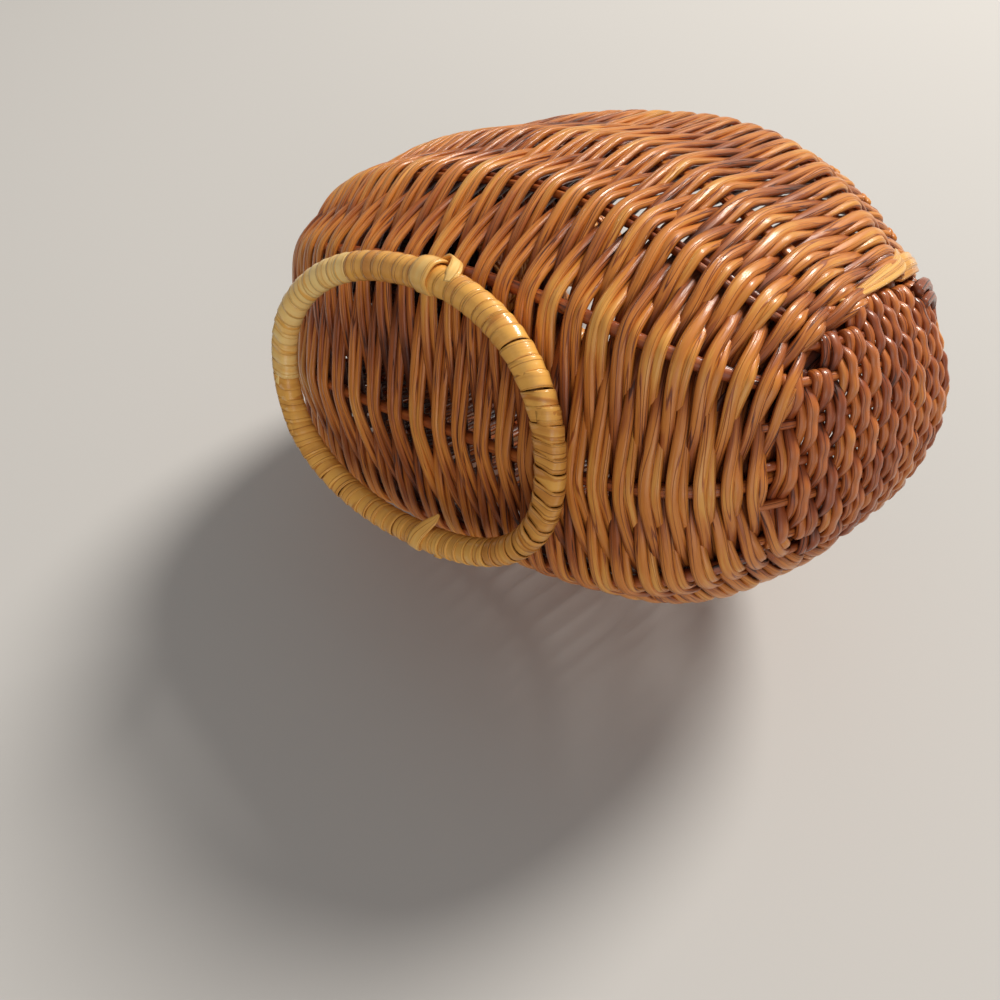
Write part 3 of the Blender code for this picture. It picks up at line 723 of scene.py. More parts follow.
def lay_rib(bunch, angle, kind, shade):
    """A rib from the breast to under the rump's weave: a round stick, two thin ones or a flat slat."""
    along = np.linspace(RIB_START, RIB_STOP, RIB_POINTS)
    line = body_points(along, angle)
    ahead = body_points(along + NUDGE, angle) - body_points(along - NUDGE, angle)
    round_it = body_points(along, angle + NUDGE) - body_points(along, angle - NUDGE)
    out = unit(np.cross(round_it, ahead))
    middle = RIB_POINTS // 2
    if out[middle] @ (line[middle] - np.array([BODY_MIDDLE, 0, LEVEL])) < 0:
        out = -out
    side = unit(np.cross(out, ahead))
    sink = RIB_SINK * np.clip((SINK_START - along) / SINK_LENGTH, 0, 1)
    line = line - out * sink[:, None]
    if kind == "round":
        bunch.lay(line, out, RIB_RADIUS, RIB_RADIUS, shade, flatness=1.0)
    if kind == "double":
        for sign in (-1, 1):
            place = line + side * (sign * THIN_WIDTH)
            bunch.lay(place, out, THIN_WIDTH, THIN_DEPTH, shade + THIN_SHADE * sign, flatness=1.0)
    if kind == "slat":
        bunch.lay(line, out, SLAT_WIDTH, SLAT_DEPTH, shade, flatness=SLAT_FLATNESS)


# The rump, woven across

# The rump's upright ribs: how far each foot is from the middle, and the height it starts at
RUMP_FEET = (-0.0282, -0.0228, -0.0166, -0.0080, 0.0005, 0.0088, 0.0166, 0.0229, 0.0284)
RUMP_STARTS = (0.0500, 0.0375, 0.0290, 0.0290, 0.0290, 0.0290, 0.0290, 0.0375, 0.0500)
RUMP_LOW, RUMP_HIGH = 0.0300, 0.0920
RUMP_RIB_RADIUS, RUMP_RIB_SHADES = 0.0010, (0.4, 0.6)
RUMP_RIB_BELOW, RUMP_RIB_ABOVE = 0.004, 0.0015
RUMP_LEAN, RUMP_LEAN_HEIGHT = 0.17, 0.060
RUMP_LIFT = 0.0014
RUMP_ROW_PITCH = 0.0034
RUMP_STEP = 0.0007
# Rows reach past the last rib on the inside, take up a rib a little below its foot, and rise at the sides
ROW_PAST, ROW_EARLY = 0.0022, 0.0005
RISE, RISE_START, RISE_REACH, RISE_MOST = 0.0022, 0.006, 0.020, 0.003
RUMP_SOFTNESS, RUMP_FLATS, INSIDE_SIGN = 0.0012, (0.0028, 0.0004), -1.2
RUMP_TWIST, RUMP_SPREAD, RUMP_PALER = 0.8, 1.07, 0.02
EDGE_ANGLE, EDGE_RISE = math.radians(205), 0.0009
# The part of the body where the rump's skin is looked for
SEARCH_FROM, SEARCH_TO, HALVINGS = -0.99999, -0.2, 44


def rump_surface(y, z):
    """How far along the body the rump's skin lies at this side and height."""
    y, z = np.broadcast_arrays(y, z)
    low, high = np.full(y.shape, SEARCH_FROM), np.full(y.shape, SEARCH_TO)
    for _ in range(HALVINGS):
        middle = (low + high) / 2
        size = np.maximum(fullness(middle), 1e-6)
        up = z - level_at(middle)
        across = np.abs(y / (HALF_WIDTH * size))
        belly = across**BELLY_BOXINESS + np.abs(up / (BELLY * size)) ** BELLY_BOXINESS
        back = across**2 + (up / (BACK * size)) ** 2
        outside = np.where(up < 0, belly, back) > 1
        low, high = np.where(outside, middle, low), np.where(outside, high, middle)
    return (low + high) / 2


def rump_points(y, z):
    along = rump_surface(y, z)
    y, z = np.broadcast_arrays(y, z)
    return np.stack([BODY_MIDDLE + HALF_LENGTH * along, y, z], -1)


def rump_frames(y, z):
    """Places on the rump's skin, with the ways out of it and up along it."""
    y, z = np.atleast_1d(y), np.atleast_1d(z)
    by_y = rump_points(y + NUDGE, z) - rump_points(y - NUDGE, z)
    by_z = rump_points(y, z + NUDGE) - rump_points(y, z - NUDGE)
    out = unit(np.cross(by_z, by_y))
    return rump_points(y, z), np.where(out[:, :1] > 0, -out, out), unit(by_z)


def rump_rib_side(foot, z):
    """The ribs lean together as they rise."""
    return foot * (1 - RUMP_LEAN * (z - RUMP_LOW) / RUMP_LEAN_HEIGHT)


def rump_line(spots, lift, amount):
    """A smooth line through a few spots of the rump, each lifted off it, with the ways out."""
    places = []
    for k, (y, z) in enumerate(spots):
        here, out, _ = rump_frames(y, z)
        places.append((here[0] + out[0] * lift(k), out[0]))
    return smooth_strip(places, amount)


def edge_turn(side_place, z, sign):
    """The way of a row round the upright rib at the rump's edge, from outside to inside."""
    here, out, up = (rows[0] for rows in rump_frames(side_place, z))
    away = unit(np.cross(out, up))
    if away[1] * sign < 0:
        away = -away
    line, outs = [], []
    for k in range(TURN_POINTS):
        phase = EDGE_ANGLE * (k + 0.5) / TURN_POINTS
        way = out * math.cos(phase) + away * math.sin(phase)
        line.append(here + way * RUMP_LIFT + up * EDGE_RISE * k / TURN_POINTS)
        outs.append(way)
    flat = np.zeros(TURN_POINTS)
    return np.array(line), np.array(outs), np.tile(up, (TURN_POINTS, 1)), flat, flat


def weave_rump(bunch):
    """Rows across the rump. Each one turns back round the outer ribs where it passes outside them."""
    count = round((RUMP_HIGH - RUMP_LOW) / RUMP_ROW_PITCH)
    for k in range(count + 1):
        z = RUMP_LOW + (RUMP_HIGH - RUMP_LOW) * k / count
        crossed = [n for n, start in enumerate(RUMP_STARTS) if z >= start - ROW_EARLY]
        ribs = [rump_rib_side(RUMP_FEET[n], z) for n in crossed]
        signs = [1 if (n + k) % 2 == 0 else -1 for n in crossed]
        low_y = ribs[0] - (0.0 if signs[0] > 0 else ROW_PAST)
        high_y = ribs[-1] + (0.0 if signs[-1] > 0 else ROW_PAST)
        y = np.linspace(low_y, high_y, max(12, int((high_y - low_y) / RUMP_STEP)))
        reach = np.maximum(0, np.abs(y) - RISE_START) / RISE_REACH
        rise = np.minimum(RISE * reach**2, RISE_MOST)
        here, out, side = rump_frames(y, z + rise)
        run = run_along(here)
        places = [np.interp(s, y, run) + hand.uniform(-RIB_DRIFT, RIB_DRIFT) for s in ribs]
        if signs[0] < 0:
            places, signs = [0.0, *places], [INSIDE_SIGN, *signs]
        if signs[-1] < 0:
            places, signs = [*places, run[-1]], [*signs, INSIDE_SIGN]
        lift = wave(run, places, signs, RUMP_LIFT, RUMP_SOFTNESS, RUMP_FLATS)
        tilt = PAIR_TILT * RUMP_TWIST * np.sin(share_between(run, places) * math.pi) ** TWIST_POWER
        ways = [here + out * lift[:, None], out, side, tilt, how_deep(lift, RUMP_LIFT)]
        if signs[-1] > 0:
            ways = [np.concatenate(pair) for pair in zip(ways, edge_turn(y[-1], z + rise[-1], 1))]
        if signs[0] > 0:
            back = (rows[::-1] for rows in edge_turn(y[0], z + rise[0], -1))
            ways = [np.concatenate(pair) for pair in zip(back, ways)]
        first, second = pick_shades()
        lay_pair(bunch, *ways, (first + RUMP_PALER, second), False, RUMP_SPREAD)


def rump_ribs(bunch):
    for foot, start in zip(RUMP_FEET, RUMP_STARTS):
        z = np.linspace(start - RUMP_RIB_BELOW, RUMP_HIGH + RUMP_RIB_ABOVE, 50)
        here, out, _ = rump_frames(rump_rib_side(foot, z), z)
        bunch.lay(here, out, RUMP_RIB_RADIUS, RUMP_RIB_RADIUS, hand.uniform(*RUMP_RIB_SHADES), flatness=1.0)


# Half of the rump's edge, from under its middle up its side, and the rods behind that follow it: they fill
# the gaps there and are darkened with painted shade, standing in for the shaded inside
RUMP_EDGE_SIDES = (0.0060, 0.0120, 0.0170, 0.0215, 0.0250, 0.0262, 0.0258)
RUMP_EDGE_HEIGHTS = (0.0250, 0.0262, 0.0320, 0.0400, 0.0500, 0.0620, 0.0740)
EDGE_FOOT, EDGE_HEART = 0.0246, 0.064
BACKING_SIZES = (0.76, 0.83, 0.90, 0.97, 1.04, 1.11, 1.18)
BACKING_WIDTH, BACKING_THICKNESS, BACKING_SINK, BACKING_PAINTED_SHADE = 0.0014, 0.0008, 0.0023, 0.8
BACKING_SHADES = (0.40, 0.50)


def edge_backing(bunch):
    """Rods behind the weave where the rump's rows meet the side's rows, darkened with painted shade to
    stand in for the shaded inside seen through the gaps.
    """
    spots = [*zip(RUMP_EDGE_SIDES, RUMP_EDGE_HEIGHTS)]
    spots = [*((-y, z) for y, z in spots[::-1]), (0.0, EDGE_FOOT), *spots]
    for size in BACKING_SIZES:
        sized = [(y * size, EDGE_HEART + (z - EDGE_HEART) * size) for y, z in spots]
        line, outs = rump_line(sized, lambda k: -BACKING_SINK, 7)
        shade = hand.uniform(*BACKING_SHADES)
        bunch.lay(line, outs, BACKING_WIDTH, BACKING_THICKNESS, shade, deep=BACKING_PAINTED_SHADE)


LOOP_SPOTS = ((0.0240, 0.0780), (0.0238, 0.0835), (0.0220, 0.0885), (0.0190, 0.0915), (0.0150, 0.0905))
LOOP_RODS = ((0.0, 0.0013), (0.0024, 0.0011))
LOOP_LIFT, LOOP_ARCH, LOOP_WIDTH, LOOP_SHADE = 0.0022, 0.0012, 1.15, 0.40


def corner_loop(bunch):
    """The rump's edge rib ends in a dark loop up to the hoop."""
    for shift, thick in LOOP_RODS:
        spots = [(y - shift, z) for y, z in LOOP_SPOTS]
        line, outs = rump_line(spots, lambda k: LOOP_LIFT + LOOP_ARCH * math.sin(math.pi * k / 4), 6)
        bunch.lay(line, outs, thick * LOOP_WIDTH, thick, LOOP_SHADE)


# Foot ring

RING_HALF_LENGTH = 0.0452
RING_HALF_WIDTH = 0.0328
RING_MIDDLE = -0.0202
RING_RADIUS = 0.00285
RING_FLAT = 0.0005
RING_SADDLE = 0.0030
RING_SQUARENESS = 2.23
RING_NUDGE = 0.002
GROUND = 0.0003
# The binding: flat cane, each turn with one edge on the turn before, in lengths that lap
BINDING_PITCH, BINDING_LAP, BINDING_TILT = 0.0033, 0.545, 0.085
BINDING_LENGTHS, BINDING_SHADES, BINDING_BEFORE, BINDING_AFTER = (6, 14), (0.42, 0.84), 0.25, 0.35
BINDING_POINTS, BINDING_WANDER, BINDING_WAVER = 20, 0.11, 0.00008
BINDING_THICKNESS, BINDING_GAP, BINDING_RISE, BINDING_FADE = 0.00024, 0.00004, 0.00022, 0.3
# The ties' strips: angles round the ring, phases round its rod, heights over its skin, and half widths
ACROSS = (
    (101.4, 101.6, 101.6, 101.2, 100.6, 100.2, 100),
    (200, 120, 40, -20, -80, -150, -205),
    (0.0004, 0.0007, 0.0012, 0.0014, 0.0012, 0.0006, 0.0004),
    (0.0014, 0.0020, 0.0025, 0.0027, 0.0024, 0.0016),
)
ONWARD = (
    (99.5, 101, 103.2, 105.6, 107.8, 109.4, 110.4),
    (85, 62, 48, 38, 20, -8, -50),
    (0.0006, 0.0017, 0.0028, 0.0026, 0.0014, 0.0006, 0.0003),
    (0.0016, 0.0017, 0.0015, 0.0014, 0.0015, 0.0017, 0.0012),
)
POINTED = (
    (271, 270.5, 269.5, 268, 266.4, 264.6, 263.4),
    (30, -20, -70, -120, -160, -181, -190),
    (0.0004, 0.0006, 0.0008, 0.0009, 0.0013, 0.0026, 0.0041),
    (0.0014, 0.0018, 0.0020, 0.0021, 0.0018, 0.0012, 0.0003),
)
LEG_WIDTH, LEG_THICKNESS, LEG_SHADE, LEG_BELOW, LEG_BOW = 0.0013, 0.00030, 0.55, 0.0022, 0.0002
LEG_GAP, LEG_LEAN = 0.0004, 0.99
STRIP_GROUND = 0.00032


def ring_point(turn):
    forward, side = np.cos(turn), np.sin(turn)
    x = RING_MIDDLE + RING_HALF_LENGTH * signed_power(forward, 2 / RING_SQUARENESS)
    y = RING_HALF_WIDTH * signed_power(side, 2 / RING_SQUARENESS)
    return np.stack([x, y, RING_RADIUS - RING_FLAT + RING_SADDLE * side**2], -1)


def round_ring(turn, phase, height):
    """Points on the ring's skin: phase 0 faces out of the ring, a quarter turn faces up."""
    turn, phase = np.atleast_1d(turn).astype(float), np.atleast_1d(phase).astype(float)
    ahead = unit(ring_point(turn + RING_NUDGE) - ring_point(turn - RING_NUDGE))
    outward = unit(np.cross(ahead, np.array([0.0, 0.0, 1.0])))
    up = np.cross(outward, ahead)
    way = outward * np.cos(phase)[:, None] + up * np.sin(phase)[:, None]
    return ring_point(turn) + way * np.broadcast_to(height, phase.shape)[:, None], way, ahead


def bind_ring(bunch):
    """Flat cane wound closely round the ring."""
    fine = np.linspace(0, math.tau, 20000)
    run = run_along(ring_point(fine))
    turns = round(run[-1] / BINDING_PITCH)
    length = 0
    while length < turns:
        step = min(hand.randint(*BINDING_LENGTHS), turns - length)
        start, end = length - BINDING_BEFORE, length + step + BINDING_AFTER
        share = np.arange(int((end - start) * BINDING_POINTS) + 1) / BINDING_POINTS + start
        knots = np.arange(start - 1, end + 2)
        wander = np.interp(share, knots, [hand.uniform(-BINDING_WANDER, BINDING_WANDER) for _ in knots])
        turn = np.interp(((share + wander) / turns) % 1.0 * run[-1], run, fine)
        fade = np.minimum(1, np.minimum(share - start, end - share) / BINDING_FADE)
        height = RING_RADIUS + BINDING_GAP + BINDING_RISE * fade
        place, way, ahead = round_ring(turn, share * math.tau, height)
        place[:, 2] = np.maximum(place[:, 2], GROUND)
        wide = BINDING_PITCH * BINDING_LAP + BINDING_WAVER * np.sin(share * 2.3)
        out, shade = way + ahead * BINDING_TILT, hand.uniform(*BINDING_SHADES)
        bunch.lay(place, out, wide, BINDING_THICKNESS, shade, flatness=CANE_FLATNESS)
        length += step


def belly_height(x, y):
    """The height of the belly's middle line over this place in plan."""
    along = (x - BODY_MIDDLE) / HALF_LENGTH
    size = float(fullness(along))
    share = abs(y) / (HALF_WIDTH * size)
    drop = max(0.0, 1 - share**BELLY_BOXINESS) ** (1 / BELLY_BOXINESS)
    return float(level_at(along)) - BELLY * size * drop


def ring_strip(bunch, strip, shade, thick, twist=0.0):
    """A strip over the ring by a few spots. A twisted one turns its face to the ground at its end."""
    *spots, widths = strip
    line, outs = [], []
    for angle, phase, height in zip(*spots):
        place, way, _ = round_ring(math.radians(angle), math.radians(phase), RING_RADIUS + height)
        line.append(place[0])
        outs.append(way[0])
    line, outs = eased(line, 7), eased(outs, 7)
    outs = unit(outs + np.linspace(0, 1, len(outs))[:, None] ** 2 * np.array([0, 0, -twist]))
    line[:, 2] = np.maximum(line[:, 2], STRIP_GROUND)
    bunch.lay(line, outs, taper(line, widths), thick, shade, flatness=CANE_FLATNESS)


def tie_leg(bunch, angle, phase):
    """Cane from the ring's skin up into the belly's weave."""
    place, way, _ = round_ring(math.radians(angle), math.radians(phase), RING_RADIUS + LEG_GAP)
    foot, out = place[0], way[0]
    top = np.array([foot[0], foot[1] * LEG_LEAN, belly_height(foot[0], foot[1] * LEG_LEAN) + LEG_GAP])
    low = foot - np.array([0, 0, LEG_BELOW])
    line = eased([low, foot, (foot + top) / 2 + out * LEG_BOW, top], 6)
    outs = np.tile(out, (len(line), 1))
    bunch.lay(line, outs, LEG_WIDTH, LEG_THICKNESS, LEG_SHADE, flatness=CANE_FLATNESS)


def tie_left(bunch):
    """A knot in the binding: a wide turn across it, and a strip from its top that tucks in further on."""
    ring_strip(bunch, ACROSS, 0.66, 0.0004)
    ring_strip(bunch, ONWARD, 0.74, 0.0003)
    tie_leg(bunch, 98.5, 170)


def tie_right(bunch):
    """The binding's end: a strip round the ring that narrows to a point on its way to the belly."""
    ring_strip(bunch, POINTED, 0.70, 0.00032, 3.5)
    tie_leg(bunch, 262.5, 10)


# The strap on the hoop

STRAP_TURN = math.pi * 0.82
# Its strips, with shift along the hoop, half width, shade and height, and their way outside and round it
STRAP_STRIPS = ((-0.014, 0.0009, 0.54, -0.0003), (0.012, 0.0010, 0.46, 0.0), (0.038, 0.0009, 0.38, -0.0003))
STRAP_OUTSIDE = ((0.0085, 0.0020), (0.0062, 0.0029), (0.0040, 0.0034), (0.0022, 0.0034))
STRAP_ROUND = (75, 40, 0, -45, -90, -130)
STRAP_GAP, STRAP_THICKNESS, HOOP_NUDGE = 0.0007, 0.0004, 0.0003
# The crescent: places down the body's side with section angles in degrees, and the shade of each layer
CRESCENT = ((-0.876, 71), (-0.884, 78), (-0.885, 86), (-0.878, 95), (-0.862, 106), (-0.842, 118))
LAYER_SHADES, LAYER_STEP, LAYER_POWER, LAYER_SINK = (0.60, 0.44, 0.66, 0.50), 0.0085, 0.8, 0.00012
CRESCENT_RISE, CRESCENT_ARCH = 0.0017, 0.0009
CRESCENT_WIDTH, CRESCENT_THICKNESS, CRESCENT_FLATNESS = 0.00080, 0.00045, 0.8
# How the width of each runs along it: the strap narrows, the crescent's layers widen from a point
STRAP_TAPER, LAYER_TAPER = ((1.3, 1, 0.8), (0, 0.3, 1)), ((0.3, 1, 1), (0, 0.5, 1))


def hoop_frame(turn, wider, lift):
    """A point of the back beside the hoop, with the ways to the opening and out."""
    here = hoop_point(turn, wider)
    inward = unit(hoop_point(turn, wider - HOOP_NUDGE) - here)
    out = unit(np.cross(unit(hoop_point(turn + TURN_NUDGE, wider) - here), inward))
    return here + out * lift, inward, out


def strap_hoop(bunch):
    """A golden strip folded over the hoop, beside the rump's edge."""
    for shift, wide, shade, high in STRAP_STRIPS:
        turn = STRAP_TURN + shift
        spots = [hoop_frame(turn, wider, lift + high)[::2] for wider, lift in STRAP_OUTSIDE]
        hoop, inward, out = hoop_frame(turn, 0, 0)
        for angle in map(math.radians, STRAP_ROUND):
            way = inward * math.cos(angle) + out * math.sin(angle)
            spots.append((hoop + way * (HOOP_RADIUS + STRAP_GAP + high / 2), way))
        line, outs = smooth_strip(spots, 6)
        wides = wide * taper(line, *STRAP_TAPER)
        bunch.lay(line, outs, wides, STRAP_THICKNESS, shade, flatness=CANE_FLATNESS)


def edge_strip(bunch):
    """The golden strip's way down the side to the rump's edge: a crescent of lapped layers."""
    for layer, shade in enumerate(LAYER_SHADES):
        spots = []
        for k, (along, degrees) in enumerate(CRESCENT):
            down = k / (len(CRESCENT) - 1)
            section = Section(along + LAYER_STEP * layer * down**LAYER_POWER)
            place = section.place(math.radians(degrees))
            out = unit(section.at(place, section.out))
            arch = CRESCENT_ARCH * math.sin(math.pi * k / (len(CRESCENT) - 1))
            rise = CRESCENT_RISE + arch - LAYER_SINK * layer
            spots.append((section.at(place, section.points) + out * rise, out))
        line, outs = smooth_strip(spots, 7)
        wides = CRESCENT_WIDTH * taper(line, *LAYER_TAPER)
        bunch.lay(line, outs, wides, CRESCENT_THICKNESS, shade, flatness=CRESCENT_FLATNESS)


# Neck and head

NECK_ROOT, HEAD_MIDDLE = Vector((0.0610, 0, 0.0950)), Vector((0.0695, 0, 0.1715))
NECK_BASE_RADIUS = 0.0170
NECK_TOP_RADIUS = 0.0115
HEAD_HALF = (0.0230, 0.0155, 0.0170)
# The neck's share of the way up, how far into the root its weave starts, and where it meets the head
NECK_PART, ROOT_INSET, JOIN_SHARE = 0.52, 0.006, 0.86
STAKES, STAKE_RADIUS, STAKE_POINTS, STAKE_END, STAKE_LEAN = 11, 0.0009, 90, 0.985, 0.2
# The spiral of rods: its pitch, its waves over and under the stakes, and the lengths of its pieces
NECK_INSET, NECK_WAVE, NECK_PITCH, NECK_ROW_END = 0.0019, 0.0019, 0.0029, 0.3
STEEP_SPACING, NECK_STEP, NARROWEST = 0.0065, 0.0011, 0.004
SLOPE_NUDGE, CROWN_START, CROWN_WEIGHT = 0.01, 0.9, 0.3
NECK_TILT, NECK_TILT_POWER, NECK_DEPTH, NECK_SLIM = 0.8, 1.5, 0.6, 0.98
NECK_LENGTHS = (140, 420)


def neck_and_head_shape(share):
    """Middle, half length and half width of the level ring at a share of the way up."""
    part = np.clip(share / NECK_PART, 0, 1)
    slow = part * part * (3 - 2 * part)
    x = NECK_ROOT.x + (HEAD_MIDDLE.x - NECK_ROOT.x) * slow
    join = HEAD_MIDDLE.z - HEAD_HALF[2] * JOIN_SHARE
    z_neck = NECK_ROOT.z + ROOT_INSET + (join - NECK_ROOT.z - ROOT_INSET) * part
    radius = NECK_BASE_RADIUS + (NECK_TOP_RADIUS - NECK_BASE_RADIUS) * slow
    grow = np.clip((share - NECK_PART) / (1 - NECK_PART), 0, 1)
    angle = math.asin(JOIN_SHARE) * -1 + (math.pi / 2 + math.asin(JOIN_SHARE)) * grow
    long_half, wide_half, high_half = (half - NECK_INSET for half in HEAD_HALF)
    on_head = share > NECK_PART
    z = np.where(on_head, HEAD_MIDDLE.z + high_half * np.sin(angle), z_neck)
    long = np.where(on_head, long_half * np.cos(angle), radius - NECK_INSET)
    wide = np.where(on_head, wide_half * np.cos(angle), radius - NECK_INSET)
    return x, z, long, wide


def weave_neck_and_head(neck, head):
    """One long spiral of paired rods round the stakes, from the root of the neck to the crown."""
    fine = np.linspace(0, 1, 3000)
    x, z, long, wide = neck_and_head_shape(fine)
    run = run_along(np.stack([x + long, z], -1))
    turns = run[-1] / NECK_PITCH
    rows = []
    turn = 0.0
    while turn < turns - NECK_ROW_END:
        share = float(np.interp(turn * NECK_PITCH, run, fine))
        middle, level, long, wide = (float(v) for v in neck_and_head_shape(share))
        angle = turn * math.tau
        around = math.tau * (long + wide) / 2
        steep = min(1.0, (around / STAKES) / STEEP_SPACING)
        cos, sin = math.cos(angle), math.sin(angle)
        before = [float(v) for v in neck_and_head_shape(max(0, share - SLOPE_NUDGE))]
        after = [float(v) for v in neck_and_head_shape(min(1, share + SLOPE_NUDGE))]
        ahead = (after[0] + after[2] * cos) - (before[0] + before[2] * cos)
        slope = unit(np.array([ahead, (after[3] - before[3]) * sin, after[1] - before[1]]))
        round_it = unit(np.array([-long * sin, wide * cos, 0.0]) + 1e-9)
        away = unit(np.cross(round_it, slope))
        upward = (CROWN_WEIGHT if share > CROWN_START else 0) * away[2]
        if away[0] * cos + away[1] * sin + upward < 0:
            away = -away
        phase = STAKES * angle / 2
        lift = away * (NECK_WAVE * steep * math.cos(phase))
        place = np.array([middle + long * cos, wide * sin, level]) + lift
        tilt = PAIR_TILT * NECK_TILT * abs(math.sin(phase)) ** NECK_TILT_POWER
        # Rods get painted shade where they pass under the stakes
        deep = max(0.0, min(1.0, 0.5 - NECK_DEPTH * math.cos(phase)))
        rows.append((place, away, slope, tilt, deep, share))
        turn += NECK_STEP / max(around, NARROWEST)
    *parts, shares = (np.array(column) for column in zip(*rows))
    neck_end = int(np.searchsorted(shares, NECK_PART))
    start = 0
    while start < len(rows) - 4:
        stop = min(len(rows), start + hand.randint(*NECK_LENGTHS))
        if start < neck_end < stop:
            stop = neck_end
        if stop - start > 4:
            pieces = [part[max(0, start - 1) : stop] for part in parts]
            lay_pair(neck if start < neck_end else head, *pieces, pick_shades(), False, NECK_SLIM)
        start = stop
    share = np.linspace(0.0, STAKE_END, STAKE_POINTS)
    x, z, long, wide = neck_and_head_shape(share)
    cut = int(np.searchsorted(share, NECK_PART))
    for k in range(STAKES):
        angle = math.tau * (k + 0.5) / STAKES
        stake = np.stack([x + long * math.cos(angle), wide * math.sin(angle), z], -1)
        away = np.tile([math.cos(angle), math.sin(angle), STAKE_LEAN], (len(stake), 1))
        neck.lay(stake[: cut + 1], away[: cut + 1], STAKE_RADIUS, STAKE_RADIUS, 0.5)
        head.lay(stake[cut:], away[cut:], STAKE_RADIUS, STAKE_RADIUS, 0.5)


# Making the pieces

for rods in weave_body():
    rods.make(varnished_rod, "reed", "woven_body")
deck, breast = Bunch("woven_rods_deck"), Bunch("woven_breast_rods")
weave_breast(deck, breast)
deck.make(varnished_rod, "reed", "woven_body")
breast.make(varnished_rod, "reed", "woven_breast")
rump_ways = (weave_rump, rump_ribs, corner_loop, edge_backing)
for name, ways, finish, slot, replaced in (
    ("woven_rump_rods", rump_ways, stained_rod, "reed", "woven_rump"),
    ("ring_binding", (bind_ring,), golden_cane, "cane", "foot_ring_binding"),
    ("ring_knot", (tie_left,), golden_cane, "cane", "foot_tie_left"),
    ("ring_end_strip", (tie_right,), golden_cane, "cane", "foot_tie_right"),
    ("hoop_strap", (strap_hoop,), golden_cane, "cane", "hoop_tie"),
    ("rump_edge_strip", (edge_strip,), golden_cane, "cane", "woven_rump"),
):
    bunch = Bunch(name)
    for way in ways:
        way(bunch)
    bunch.make(finish, slot, replaced)
for side_name, angles, sign in (("left", LEFT_RIB_ANGLES, 1), ("right", RIGHT_RIB_ANGLES, -1)):
    for angle, level, kind, shade in zip(angles, RIB_LEVELS, RIB_KINDS, RIB_SHADES):
        rib = Bunch(f"{level}_rib_{side_name}_stick")
        lay_rib(rib, angle * sign, kind, shade)
        rib.make(stained_rod, "reed", f"{level}_rib_{side_name}")
keel = Bunch("keel_rib_stick")
lay_rib(keel, KEEL_ANGLE, "round", KEEL_SHADE)
keel.make(stained_rod, "reed", "keel_rib")
neck, head = Bunch("woven_neck_rods"), Bunch("woven_head_rods")
weave_neck_and_head(neck, head)
neck.make(varnished_rod, "reed", "woven_neck")
head.make(varnished_rod, "reed", "woven_head")

for name, finish in (
    ("rim_hoop", peeled_rib),
    ("foot_ring_rod", carved_bill),
    ("bill_upper", carved_bill),
    ("bill_lower", carved_bill),
    ("eye_left", glass_bead),
    ("eye_right", glass_bead),
):
    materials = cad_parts[name].data.materials
    materials.clear()
    materials.append(finish)


# Floor, light and camera

# Half the side of each pale sheet, its colour, and how far the board stands from the basket's middle
SHEET_HALF, SHEET_COLOR, BOARD_DISTANCE = 3.0, (0.57, 0.56, 0.545, 1), 0.0840
BOARD_FACING = Vector((-0.20, 0.90, -0.25)).normalized()
LAMP_TARGET = Vector((0, 0, 0.09))
# Lamps, with place, size, watts and colour
LAMPS = (
    ("key_lamp", (-0.70, 1.90, 1.15), 0.75, 60.0, (1.0, 0.95, 0.88)),
    ("fill_lamp", (-1.50, -0.30, -1.10), 1.4, 12.0, (0.97, 0.97, 1.0)),
    ("top_lamp", (0.70, -0.90, 2.0), 1.4, 20.0, (1.0, 0.98, 0.95)),
)
AIR_COLOR, AIR_LIGHT, AIR_SEEN = (0.97, 0.94, 0.90, 1), 0.30, 0.42
# The photograph's camera, as fitted to it
CAMERA_PLACE = (-0.1826134, 0.0795101, -0.1330848)
CAMERA_RIGHT = (-0.72772143, -0.03326252, 0.68506578)
CAMERA_UP = (0.27886958, 0.89818596, 0.33984371)
CAMERA_BACK = (-0.62662052, 0.43835555, -0.64435326)
CAMERA_LENS, CAMERA_SENSOR, CAMERA_NEAREST = 34.93, 36.0, 0.005


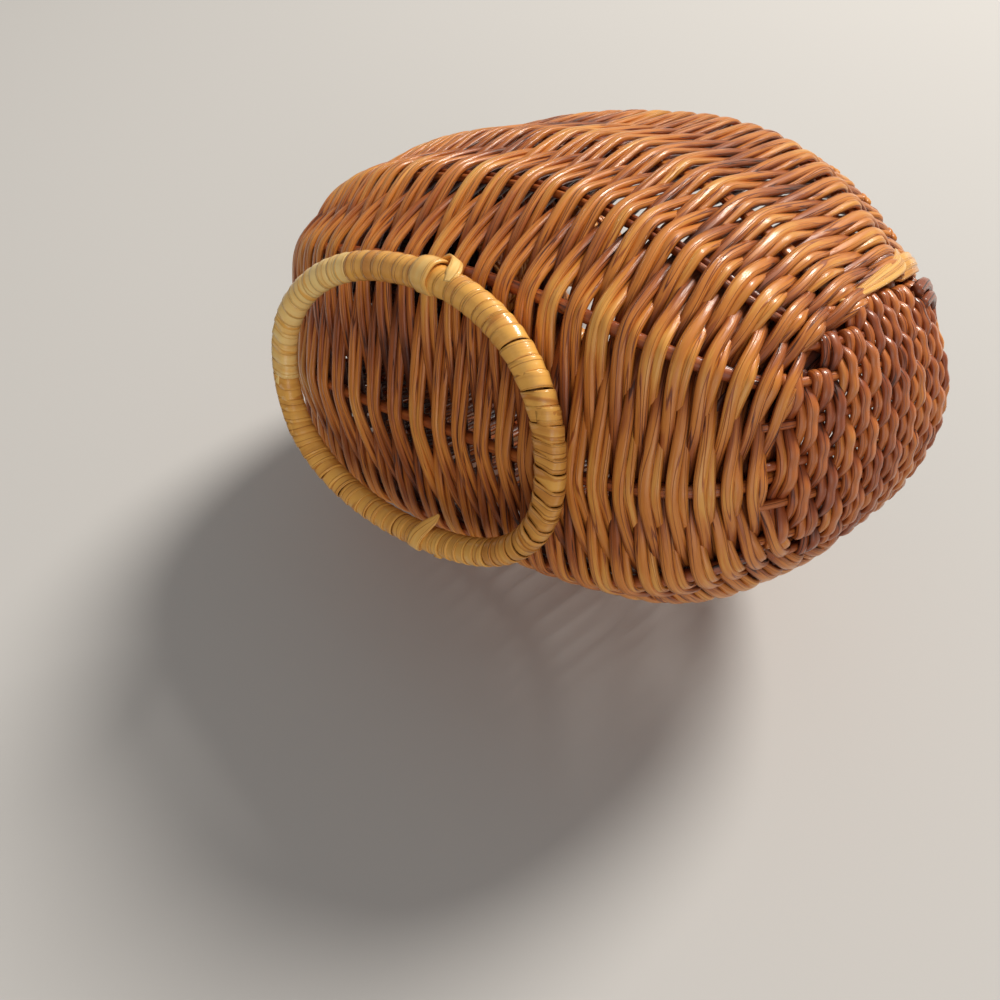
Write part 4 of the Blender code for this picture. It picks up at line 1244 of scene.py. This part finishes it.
def pale_finish(name):
    """Pale paint that the camera sees from its front side only, and that lets all other light through."""
    finish, tree, _ = new_finish(name)
    tree.nodes.clear()
    paint = node(tree, "ShaderNodeBsdfDiffuse")
    paint.inputs["Color"].default_value = SHEET_COLOR
    clear = node(tree, "ShaderNodeBsdfTransparent")
    path = node(tree, "ShaderNodeLightPath")
    face = node(tree, "ShaderNodeNewGeometry")
    seen = sums(tree, "MAXIMUM", path.outputs["Is Camera Ray"], path.outputs["Is Glossy Ray"])
    front = sums(tree, "SUBTRACT", 1.0, face.outputs["Backfacing"])
    mix = node(tree, "ShaderNodeMixShader")
    link(tree, sums(tree, "MULTIPLY", seen, front), mix.inputs[0])
    link(tree, clear.outputs[0], mix.inputs[1])
    link(tree, paint.outputs[0], mix.inputs[2])
    end = node(tree, "ShaderNodeOutputMaterial")
    link(tree, mix.outputs[0], end.inputs["Surface"])
    return finish


def pale_sheet(name, middle, normal):
    mesh = bpy.data.meshes.new(name)
    turn = normal.to_track_quat("Z", "Y").to_matrix()
    corners = []
    for right, up in ((-1, -1), (1, -1), (1, 1), (-1, 1)):
        corners.append(tuple(middle + turn @ Vector((right * SHEET_HALF, up * SHEET_HALF, 0))))
    mesh.from_pydata(corners, [], [(0, 1, 2, 3)])
    mesh.materials.append(pale_finish(name + "_paint"))
    sheet = bpy.data.objects.new(name, mesh)
    bpy.context.collection.objects.link(sheet)


pale_sheet("floor", Vector((0, 0, 0)), Vector((0, 0, 1)))
pale_sheet("table_board", BOARD_FACING * -BOARD_DISTANCE, BOARD_FACING)

for name, place, size, watts, color in LAMPS:
    data = bpy.data.lights.new(name, "AREA")
    data.shape = "DISK"
    data.size = size
    data.energy = watts
    data.color = color
    lamp = bpy.data.objects.new(name, data)
    lamp.location = place
    lamp.rotation_euler = (LAMP_TARGET - Vector(place)).to_track_quat("-Z", "Y").to_euler()
    bpy.context.collection.objects.link(lamp)

world = bpy.data.worlds.new("studio")
bpy.context.scene.world = world
world.use_nodes = True
air = world.node_tree.nodes["Background"]
air.inputs["Color"].default_value = AIR_COLOR
rays = node(world.node_tree, "ShaderNodeLightPath")
plain = sums(world.node_tree, "MULTIPLY", rays.outputs["Is Camera Ray"], AIR_SEEN)
link(world.node_tree, sums(world.node_tree, "ADD", plain, AIR_LIGHT), air.inputs["Strength"])

camera_data = bpy.data.cameras.new("photo_camera")
camera_data.lens = CAMERA_LENS
camera_data.sensor_width = CAMERA_SENSOR
camera_data.clip_start = CAMERA_NEAREST
camera = bpy.data.objects.new("photo_camera", camera_data)
turn = Matrix([Vector(way) for way in (CAMERA_RIGHT, CAMERA_UP, CAMERA_BACK)]).transposed().to_4x4()
camera.matrix_world = Matrix.Translation(CAMERA_PLACE) @ turn
bpy.context.collection.objects.link(camera)
bpy.context.scene.camera = camera
bpy.context.scene.view_settings.view_transform = "Standard"
